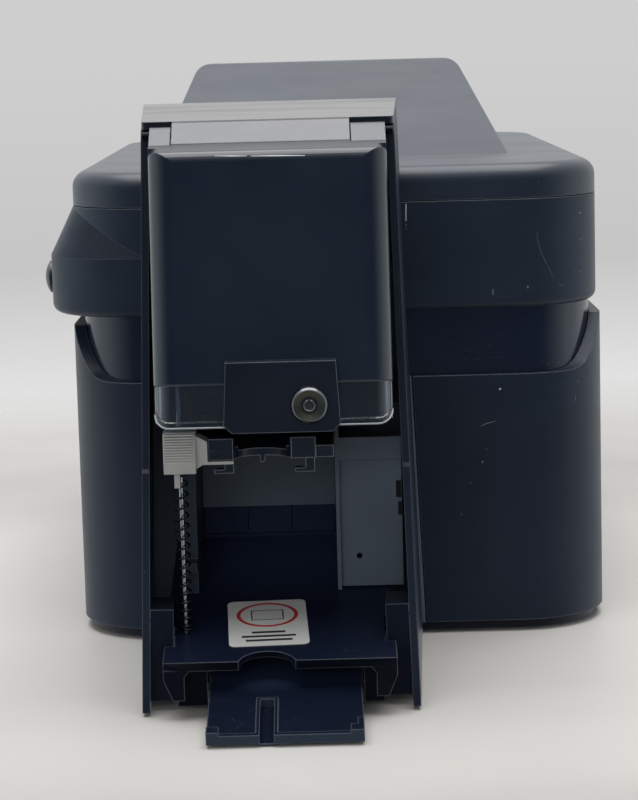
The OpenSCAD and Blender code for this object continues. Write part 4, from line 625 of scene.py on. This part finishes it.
def makeRibbon():
    w = ribbonWeb
    underX, underZ = w["under"]
    path = [w["supplyEnd"], *((underX + x, underZ + z) for x, z in w["dip"]), w["takeupEnd"]]
    verts = [(x * mm, y * mm, (z + rise) * mm) for x, z in path
             for y, rise in ((w["nearY"], 0), (w["farY"], 0), (w["farY"], w["thick"]), (w["nearY"], w["thick"]))]
    meshPiece("ribbonWeb", verts, ringFaces(len(path), 4), ribbonFilm, "body", "ribbon", 60)


makeRibbon()
print("ribbon threaded")

# clear skirt under the door, with rounded lower corners and a lip; light lines along its lip, its two corners and the
# door's foot are painted highlights
skirt = {"frontP": 115, "footZ": 110, "tilt": 9.4, "halfWidth": 44.8, "corner": 9.1, "cornerSteps": 12,
         "rearX": -36.2, "sideX": -24, "frontY": (-20, 0, 20), "inset": 0.9, "height": 16.9, "thick": 1.8,
         "lipOut": 0.5, "lipHigh": 2.4, "lipEase": 0.5, "ease": 0.4, "footOut": 0.1, "clip": 5.6}
# where the painted highlight lines run
skirtHighlightLines = {"lipRadius": 0.36, "lipRise": 0.45, "doorFootRadius": 0.2, "doorFootDrop": 0.2, "doorFootOut": 0.1,
             "edgeRadius": 0.5, "edgeHeights": (2.6, 4.4, 8, 12, 16.6), "edgeBack": 0.9, "edgeIn": 0.05, "sides": 8}


def skirtPath():  # points and outward directions along the plan of the skirt, front face at x = 0
    s = skirt
    x0, half, r = -s["inset"], s["halfWidth"], s["corner"]
    side = [((x, -half), (0, -1)) for x in (s["rearX"], s["sideX"], x0 - r)]
    for k in range(1, s["cornerSteps"]):
        a = math.radians(-90 + 90 / s["cornerSteps"] * k)
        side.append(((x0 - r + r * math.cos(a), -half + r + r * math.sin(a)), (math.cos(a), math.sin(a))))
    front = [((x0, y), (1, 0)) for y in (-half + r, *s["frontY"], half - r)]
    return side + front + [((x, -y), (nx, -ny)) for (x, y), (nx, ny) in reversed(side)]


def onSkirt(out, across, high):
    c, n = math.cos(math.radians(skirt["tilt"])), math.sin(math.radians(skirt["tilt"]))
    return atHopper(skirt["frontP"] + out * c - high * n, across, skirt["footZ"] + out * n + high * c)


def makeSkirt():
    s, highlight = skirt, skirtHighlightLines
    verts, lipHighlight, doorFootHighlight = [], [], []
    path = skirtPath()
    for (x, y), (nx, ny) in path:
        over = max(0, abs(y) - (s["halfWidth"] - s["clip"]))
        foot = s["clip"] - math.sqrt(max(0, s["clip"] ** 2 - over ** 2))
        lip = foot + s["lipHigh"]
        loop = [(0, s["height"]), (0, lip + s["lipEase"]), (s["lipOut"], lip), (s["lipOut"], foot + s["ease"]),
                (s["footOut"], foot), (s["ease"] - s["thick"], foot), (-s["thick"], foot + s["ease"]),
                (-s["thick"], s["height"])]
        verts += [onSkirt(x + nx * out, y + ny * out, high) for out, high in loop]
        lipHighlight.append(onSkirt(x + nx * s["lipOut"], y + ny * s["lipOut"], foot + highlight["lipRise"]))
        doorFootHighlight.append(onSkirt(x + nx * highlight["doorFootOut"], y + ny * highlight["doorFootOut"],
                                    s["height"] - highlight["doorFootDrop"]))
    piece = meshPiece("clearSkirt", verts, ringFaces(len(path), len(loop)), clearSkirt, "door", "clear", 40)
    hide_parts("door_skirt")
    # painted highlights: light lines along the lip, the door's foot and the skirt's two corners
    lines = [("skirtLipHighlight", lipHighlight[2:-2], highlight["lipRadius"], skirtHighlightFinish),
             ("doorFootHighlight", doorFootHighlight[2:-2], highlight["doorFootRadius"], doorFootHighlightFinish)]
    for name, side in (("skirtEdgeHighlightNear", -1), ("skirtEdgeHighlightFar", 1)):
        back, across = -s["inset"] - s["corner"] * highlight["edgeBack"], side * (s["halfWidth"] - highlight["edgeIn"])
        edge = [onSkirt(back, across, high) for high in highlight["edgeHeights"]]
        lines.append((name, edge, highlight["edgeRadius"], skirtHighlightFinish))
    for name, points, radius, material in lines:
        meshPiece(name, *sweepTube(points, radius * mm, highlight["sides"]), material, "door", "clear", 60)


makeSkirt()
print("skirt formed")

# face of the tubular lock: each profile is (radius, height out of the face)
lockFace = {"sides": 72, "flange": [(7.15, -1.3), (7.05, -0.6), (6.75, 0.1), (6.1, 0.75), (5.85, 0.88), (5.66, 0.8)],
            "ring": [(5.7, 0.78), (4.6, 0.42), (3.6, 0.16), (3.55, 0.0)],
            "rim": [(3.42, 0.0), (3.36, 0.2), (3.12, 0.2), (3.05, 0.0)],
            "post": [(2.3, 0.0), (2.26, 0.2), (2.1, 0.32), (1.75, 0.32), (1.66, 0.1), (1.64, 0.0)],
            "centre": [(1.66, 0.04), (0.9, 0.08), (0.0, 0.1)], "well": [(3.1, 0.03), (2.2, 0.03)]}
lockNotches = {"sunk": 0.3, "taper": 0.08,  # rider, then spans across and up, and the height out of the face
               "keyNotch": ("lock", (-0.55, 0.55), (1.3, 2.5), 0.38),
               "indexNotch": ("door", (-4.6, -3.55), (-0.5, 0.5), 0.5)}


def latheX(name, centre, profile, material, body):
    sides = lockFace["sides"]
    verts = []
    for r, out in profile:
        for k in range(sides):
            a = 2 * math.pi * k / sides
            verts.append(centre + Vector((out * mm, r * mm * math.cos(a), r * mm * math.sin(a))))
    slot = "dark" if material is paintedHoleShade else "chrome"
    return meshPiece(name, verts, ringFaces(len(profile), sides, capped=False), material, body, slot, 40)


def makeLockFace():
    low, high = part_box("lock_barrel")
    face = Vector((high[0], (low[1] + high[1]) / 2, (low[2] + high[2]) / 2))
    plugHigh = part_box("lock_plug")[1]
    plug = Vector((max(plugHigh[0], face[0]), face[1], face[2]))
    latheX("lockFlange", face, lockFace["flange"], flangeChrome, "door")
    latheX("lockRing", face, lockFace["ring"], lockNickel, "door")
    latheX("plugRim", plug, lockFace["rim"], lockNickel, "lock")
    # the well is a flat dark ring: painted shade of the annular keyway
    latheX("plugWell", plug, lockFace["well"], paintedHoleShade, "lock")
    latheX("plugPost", plug, lockFace["post"], lockChrome, "lock")
    latheX("plugCentre", plug, lockFace["centre"], lockNickel, "lock")
    # the notches are dark blocks: painted shade in them
    taper = lockNotches["taper"]
    for name in ("keyNotch", "indexNotch"):
        rider, (y0, y1), (z0, z1), out = lockNotches[name]
        plan = ((y0, z0), (y1, z0), (y1 - taper, z1), (y0 + taper, z1))
        corners = [plug + Vector((x * mm, y * mm, z * mm)) for x in (-lockNotches["sunk"], out) for y, z in plan]
        boxMesh(corners, name, paintedHoleShade, rider, "dark")


makeLockFace()
print("lock face set")

# dark flap in the card mouth, sagging in strips, with a sill on the ramp's top edge: dark sheets put there as painted
# shade of the mouth's inside
cardMouth = {"face": 3.0, "flapBack": 0.5, "flapThick": 0.7, "low": 46.55, "high": 58.45, "footGap": 0.4,
             "centre": -5, "half": 27.9, "strips": 3, "gap": 0.25, "rows": 6, "sag": 0.9, "sagEven": 0.8,
             "sagUneven": 0.2, "sagTurn": 1.7, "sillLow": 44.9, "sillThick": 0.25, "sillSunk": 0.05}


def makeCardMouth():
    m = cardMouth
    width = 2 * m["half"] / m["strips"]
    verts, faces = [], []
    for k in range(m["strips"]):
        q0 = m["centre"] - m["half"] + k * width + m["gap"] / 2
        q1 = q0 + width - m["gap"]
        faces += ringFaces(m["rows"] + 1, 4, start=len(verts))
        sag = m["sag"] * (m["sagEven"] + m["sagUneven"] * math.sin(m["sagTurn"] * k))
        for i in range(m["rows"] + 1):
            t = i / m["rows"]
            p, z = m["flapBack"] + sag * t * t, m["high"] + (m["low"] + m["footGap"] - m["high"]) * t
            verts += [atHopper(p, q0, z), atHopper(p, q1, z), atHopper(p + m["flapThick"], q1, z),
                      atHopper(p + m["flapThick"], q0, z)]
    meshPiece("mouthFlap", verts, faces, mouthShadeSheet, "body", "rubber", 40)
    plan = oblong(m["face"] - m["sillSunk"], m["face"] + m["sillThick"], m["centre"] - m["half"],
                  m["centre"] + m["half"])
    boxMesh([atHopper(p, q, z) for z in (m["sillLow"], m["low"]) for p, q in plan], "mouthSill", mouthShadeSheet,
            "body", "rubber")


makeCardMouth()
print("card mouth closed with its flap")

# small plates: under the tray's slot, behind the ramp's legs, and dark slabs as painted shade in the guide's latch
# holes
slotPlate = {"front": 164.046, "rise": 1.2, "angle": 11, "long": 30.6, "half": 3.2, "centre": -5, "thick": 0.75,
             "frontInset": 0.35, "frontNarrow": 0.4, "proud": 0.02}
apron = {"p": 112.5, "thick": 1.2, "low": 2.2, "high": 22.0, "nearEdge": -28.3, "farEdge": 31.9, "inset": 4.6}
latchHoles = {"face": 154.05, "holes": ((24.9, 27.15, 71.8, 78.8), (25.6, 27.15, 64.6, 70.2)), "proud": 0.04,
              "sunk": 0.1}


def onTray(x, q, z):
    angle = math.radians(slotPlate["angle"])
    return atHopper(slotPlate["front"] + x * math.cos(angle) + z * math.sin(angle), q,
                    slotPlate["rise"] - x * math.sin(angle) + z * math.cos(angle))


def makeSmallPlates():
    s = slotPlate
    q0, q1 = s["centre"] - s["half"], s["centre"] + s["half"]
    plan = ((-s["long"], q0), (-s["frontInset"], q0 + s["frontNarrow"]), (-s["frontInset"], q1 - s["frontNarrow"]),
            (-s["long"], q1))
    boxMesh([onTray(x, q, z) for z in (-s["thick"], s["proud"]) for x, q in plan], "slotPlate", trayPlastic,
            "tray", "shell")
    low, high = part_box("output_ramp")
    centre = hopperPlace["centre"]
    ends = (("rampApronNear", low[1] / mm - centre + apron["inset"], apron["nearEdge"]),
            ("rampApronFar", apron["farEdge"], high[1] / mm - centre - apron["inset"]))
    for name, a, b in ends:
        plan = oblong(apron["p"], apron["p"] + apron["thick"], a, b)
        boxMesh([atHopper(p, q, z) for z in (apron["low"], apron["high"]) for p, q in plan], name, rampPlastic,
                "body", "shell")
    # dark slabs at the guide's face: painted shade in its latch holes
    for k, (y0, y1, z0, z1) in enumerate(latchHoles["holes"]):
        plan = oblong(latchHoles["face"] - latchHoles["sunk"], latchHoles["face"] + latchHoles["proud"], y0, y1)
        boxMesh([(x * mm, y * mm, z * mm) for z in (z0, z1) for x, y in plan], "latchHole%d" % k, paintedHoleShade,
                "body", "dark")


makeSmallPlates()
print("small plates fitted")

# rubbed marks on the housing and the shell, and two glints on the door that are painted highlights
scuffsAndGlints = [  # carrier, strength, width, then places across (Y) and up (Z), in mm
    ("upper_housing", "bright", 0.5, (33.7, 185.1), (33.5, 178.0)),
    ("upper_housing", "soft", 0.5, (33.5, 176.7), (33.5, 176.0)),
    ("upper_housing", "soft", 0.5, (33.5, 174.9), (33.5, 174.4)),
    ("upper_housing", "faint", 0.3, (88.5, 171.9), (88.9, 168.1), (90.1, 163.4), (92.1, 159.1),
      (94.2, 154.9), (95.8, 151.4)),
    ("upper_housing", "faint", 0.35, (97.9, 149.3), (98.7, 148.2), (100.2, 148.8)),
    ("upper_housing", "soft", 0.3, (105.1, 153.5), (107.6, 153.4), (109.8, 154.2)),
    ("upper_housing", "soft", 0.5, (69.4, 148.3), (69.8, 147.5), (69.4, 146.6), (69.7, 145.8)),
    ("upper_housing", "soft", 0.6, (84.2, 149.2), (84.5, 148.2)),
    ("upper_housing", "soft", 0.4, (107.2, 190.1), (108.0, 191.3)),
    ("upper_housing", "soft", 0.5, (107.5, 178.3), (108.7, 178.7)),
    ("upper_housing", "faint", 0.4, (107.4, 167.2), (109.5, 167.5)),
    ("upper_housing", "faint", 0.4, (107.8, 165.5), (109.9, 166.0)),
    ("upper_housing", "faint", 0.3, (110.9, 170.5), (110.7, 166.2)),
    ("upper_housing", "faint", 0.6, (110.8, 161.2), (110.7, 160.3)),
    ("lower_shell", "soft", 0.35, (63.4, 89.9), (66.2, 91.0), (70.0, 91.9)),
    ("lower_shell", "bright", 0.9, (71.7, 105.8), (72.2, 105.4)),
    ("lower_shell", "soft", 0.8, (63.8, 74.6), (64.2, 74.1)),
    ("lower_shell", "faint", 0.6, (65.6, 80.0), (66.0, 79.5)),
    ("lower_shell", "faint", 0.7, (58.5, 65.6), (58.9, 65.2)),
    ("lower_shell", "faint", 0.6, (54.4, 52.1), (54.8, 51.6)),
    ("lower_shell", "faint", 0.5, (105.9, 107.3), (106.1, 106.0)),
    ("lower_shell", "faint", 0.35, (105.0, 100.9), (104.7, 98.3)),
    # painted highlights under the door's top edge
    ("hopper_door", "glint", 0.4, (-42.2, 211.8), (-36, 211.65), (-29.8, 211.5)),
    ("hopper_door", "glint", 0.45, (-28.2, 211.4), (-18, 211.3), (-7.8, 211.1)),
]
scuffAndGlintLay = {"castFrom": 0.26, "proud": 0.03, "sunk": 0.05, "endTaper": 0.45}


def onFace(carrier, y, z):  # where a line from outside the end meets the carrier
    start = Vector((scuffAndGlintLay["castFrom"], y * mm, z * mm))
    hit, place, normal, _ = nodes[carrier].ray_cast(start, Vector((-1, 0, 0)))
    return (place, normal) if hit else None


def layScuffsAndGlints():
    proud, sunk = scuffAndGlintLay["proud"], -scuffAndGlintLay["sunk"]
    for count, (carrier, strength, width, *places) in enumerate(scuffsAndGlints):
        met = [found for found in (onFace(carrier, y, z) for y, z in places) if found]
        if len(met) < 2:
            continue
        verts = []
        for k, (place, normal) in enumerate(met):
            before, after = met[max(k - 1, 0)][0], met[min(k + 1, len(met) - 1)][0]
            side = (after - before).cross(normal).normalized()
            taper = scuffAndGlintLay["endTaper"] if k in (0, len(met) - 1) and len(met) > 2 else 1.0
            for lift, s in ((proud, -1), (proud, 1), (sunk, 1), (sunk, -1)):
                verts.append(place + normal * lift * mm + side * s * width * taper / 2 * mm)
        body = "door" if carrier == "hopper_door" else "body"
        meshPiece("scuff%02d" % count, verts, ringFaces(len(met), 4), scuffAndGlintFinishes[strength], body, "shell")


layScuffsAndGlints()
print("scuffs laid")

# floor: pale marble that fades out; painted light round the part and far behind it, painted shadow beside the hopper
floorLook = {"half": 3.0, "veinScale": 6, "veinFrom": (0.35, 0.7), "veinDark": tone(170, 169, 166),
             "veinPale": tone(184, 183, 179), "cloudScale": 2.2, "cloudShare": 0.4, "cloudTone": tone(160, 159, 156),
             "rough": 0.42, "specular": 0.06, "roundFrom": (0.36, 0.22), "roundShare": 0.75,
             "roundTone": tone(224, 222, 217),
             "behindFrom": (-0.22, -0.42), "behindShare": 0.3, "behindTone": tone(226, 224, 220),
             "besideX": 0.2, "besideFrom": (0.12, 0.02), "besideShare": 0.85, "besideTone": tone(190, 188, 184),
             "fadeFrom": (0.50, 0.72), "glossFade": 0.7}


def makeFloor():
    f = floorLook
    mesh = bpy.data.meshes.new("studioFloor")
    corners = oblong(-f["half"], f["half"], -f["half"], f["half"])
    mesh.from_pydata([(x, y, 0) for x, y in corners], [], [(0, 1, 2, 3)])
    floor = bpy.data.objects.new("studioFloor", mesh)
    bpy.context.scene.collection.objects.link(floor)
    mat, tree, shader = newMaterial("studioMarble")
    veins = remap(tree, noise(tree, f["veinScale"], 6, 0.7), *f["veinFrom"])
    cloud = remap(tree, noise(tree, f["cloudScale"], 3, 0.5), *noiseBand)
    colour = mixColour(tree, veins, f["veinDark"], f["veinPale"])
    colour = mixColour(tree, times(tree, cloud, f["cloudShare"]), colour, f["cloudTone"])
    shader.inputs["Roughness"].default_value = f["rough"]
    shader.inputs["Specular IOR Level"].default_value = f["specular"]
    coords = node(tree, "ShaderNodeTexCoord").outputs["Object"]
    length = node(tree, "ShaderNodeVectorMath", operation="LENGTH")
    link(tree, coords, length.inputs[0])
    length = length.outputs["Value"]
    along = splitXYZ(tree, coords)[0]
    beside = math1(tree, "ABSOLUTE", math1(tree, "SUBTRACT", along, f["besideX"]))
    # painted light round the part and behind it, painted shadow beside the hopper
    for where, part in ((length, "round"), (along, "behind"), (beside, "beside")):
        share = remap(tree, where, *f[part + "From"], 0, f[part + "Share"])
        colour = mixColour(tree, share, colour, f[part + "Tone"])
    link(tree, colour, shader.inputs["Base Color"])
    path = node(tree, "ShaderNodeLightPath")  # gloss shows the room more than the floor
    away = math1(tree, "MAXIMUM", remap(tree, length, *f["fadeFrom"]),
                 times(tree, path.outputs["Is Glossy Ray"], f["glossFade"]))
    clear = node(tree, "ShaderNodeBsdfTransparent")
    mix = node(tree, "ShaderNodeMixShader")
    for slot, socket in enumerate((away, shader.outputs[0], clear.outputs[0])):
        link(tree, socket, mix.inputs[slot])
    link(tree, mix.outputs[0], tree.nodes["Material Output"].inputs["Surface"])
    mesh.materials.append(mat)


# the room by direction: what the camera sees, what lights the part, and what its gloss shows
room = {"backLow": 0.80, "backMid": 0.56, "backHigh": 0.62, "lowFrom": (-0.15, -0.09), "highFrom": (-0.09, -0.005),
        "fill": (0.29, 0.29, 0.30, 1), "pale": 0.74, "top": 1.15, "topPaintedShadeFrom": (0.1, 0.6),
        "sideSheet": (0.93, 1.03, 1.08, 1), "sideFrom": (0.45, 0.95), "sideUpTo": (0.7, 0.2),
        "dark": (0.07, 0.10, 0.145, 1), "darkFrom": (0.05, 0.7), "darkUpTo": (0.75, 0.35)}


def makeWorld():
    world = bpy.data.worlds.new("studioWorld")
    bpy.context.scene.world = world
    world.use_nodes = True
    tree = world.node_tree
    x, y, z = splitXYZ(tree, node(tree, "ShaderNodeTexCoord").outputs["Generated"])
    backdrop = math1(tree, "ADD", remap(tree, z, *room["lowFrom"], room["backLow"], room["backMid"]),
                     remap(tree, z, *room["highFrom"], 0, room["backHigh"] - room["backMid"]))
    gloss = remap(tree, z, *room["topPaintedShadeFrom"], room["pale"], room["top"])
    sides = times(tree, remap(tree, math1(tree, "ABSOLUTE", y), *room["sideFrom"]), remap(tree, z, *room["sideUpTo"]))
    gloss = mixColour(tree, sides, gloss, room["sideSheet"])
    front = times(tree, remap(tree, x, *room["darkFrom"]), remap(tree, z, *room["darkUpTo"]))
    gloss = mixColour(tree, front, gloss, room["dark"])  # the dark side of the room
    path = node(tree, "ShaderNodeLightPath")
    colour = mixColour(tree, path.outputs["Is Glossy Ray"], room["fill"], gloss)
    seen = math1(tree, "MAXIMUM", path.outputs["Is Camera Ray"], path.outputs["Is Transmission Ray"])
    link(tree, mixColour(tree, seen, colour, backdrop), tree.nodes["Background"].inputs["Color"])


lamps = {"boxPower": 36, "boxSize": (1.5, 1.7), "boxPlace": (0.05, 0.0, 1.6), "frontPower": 7.5, "frontSize": 0.8,
         "frontPlace": (1.8, -0.25, 0.48), "frontAim": (0.1, 0, 0.08)}


def newLamp(name, power, place):
    data = bpy.data.lights.new(name, "AREA")
    data.energy = power
    lamp = bpy.data.objects.new(name, data)
    lamp.location = place
    bpy.context.scene.collection.objects.link(lamp)
    return lamp, data


def makeLights():
    lamp, data = newLamp("overheadBox", lamps["boxPower"], lamps["boxPlace"])
    data.shape = "RECTANGLE"
    data.size, data.size_y = lamps["boxSize"]
    lamp, data = newLamp("frontPanel", lamps["frontPower"], lamps["frontPlace"])
    data.size = lamps["frontSize"]
    lamp.rotation_euler = (Vector(lamps["frontAim"]) - lamp.location).to_track_quat("-Z", "Y").to_euler()
    lamp.visible_glossy = lamp.visible_transmission = False  # it fills the hopper's shade without glare


makeFloor()
makeWorld()
makeLights()
print("studio set")
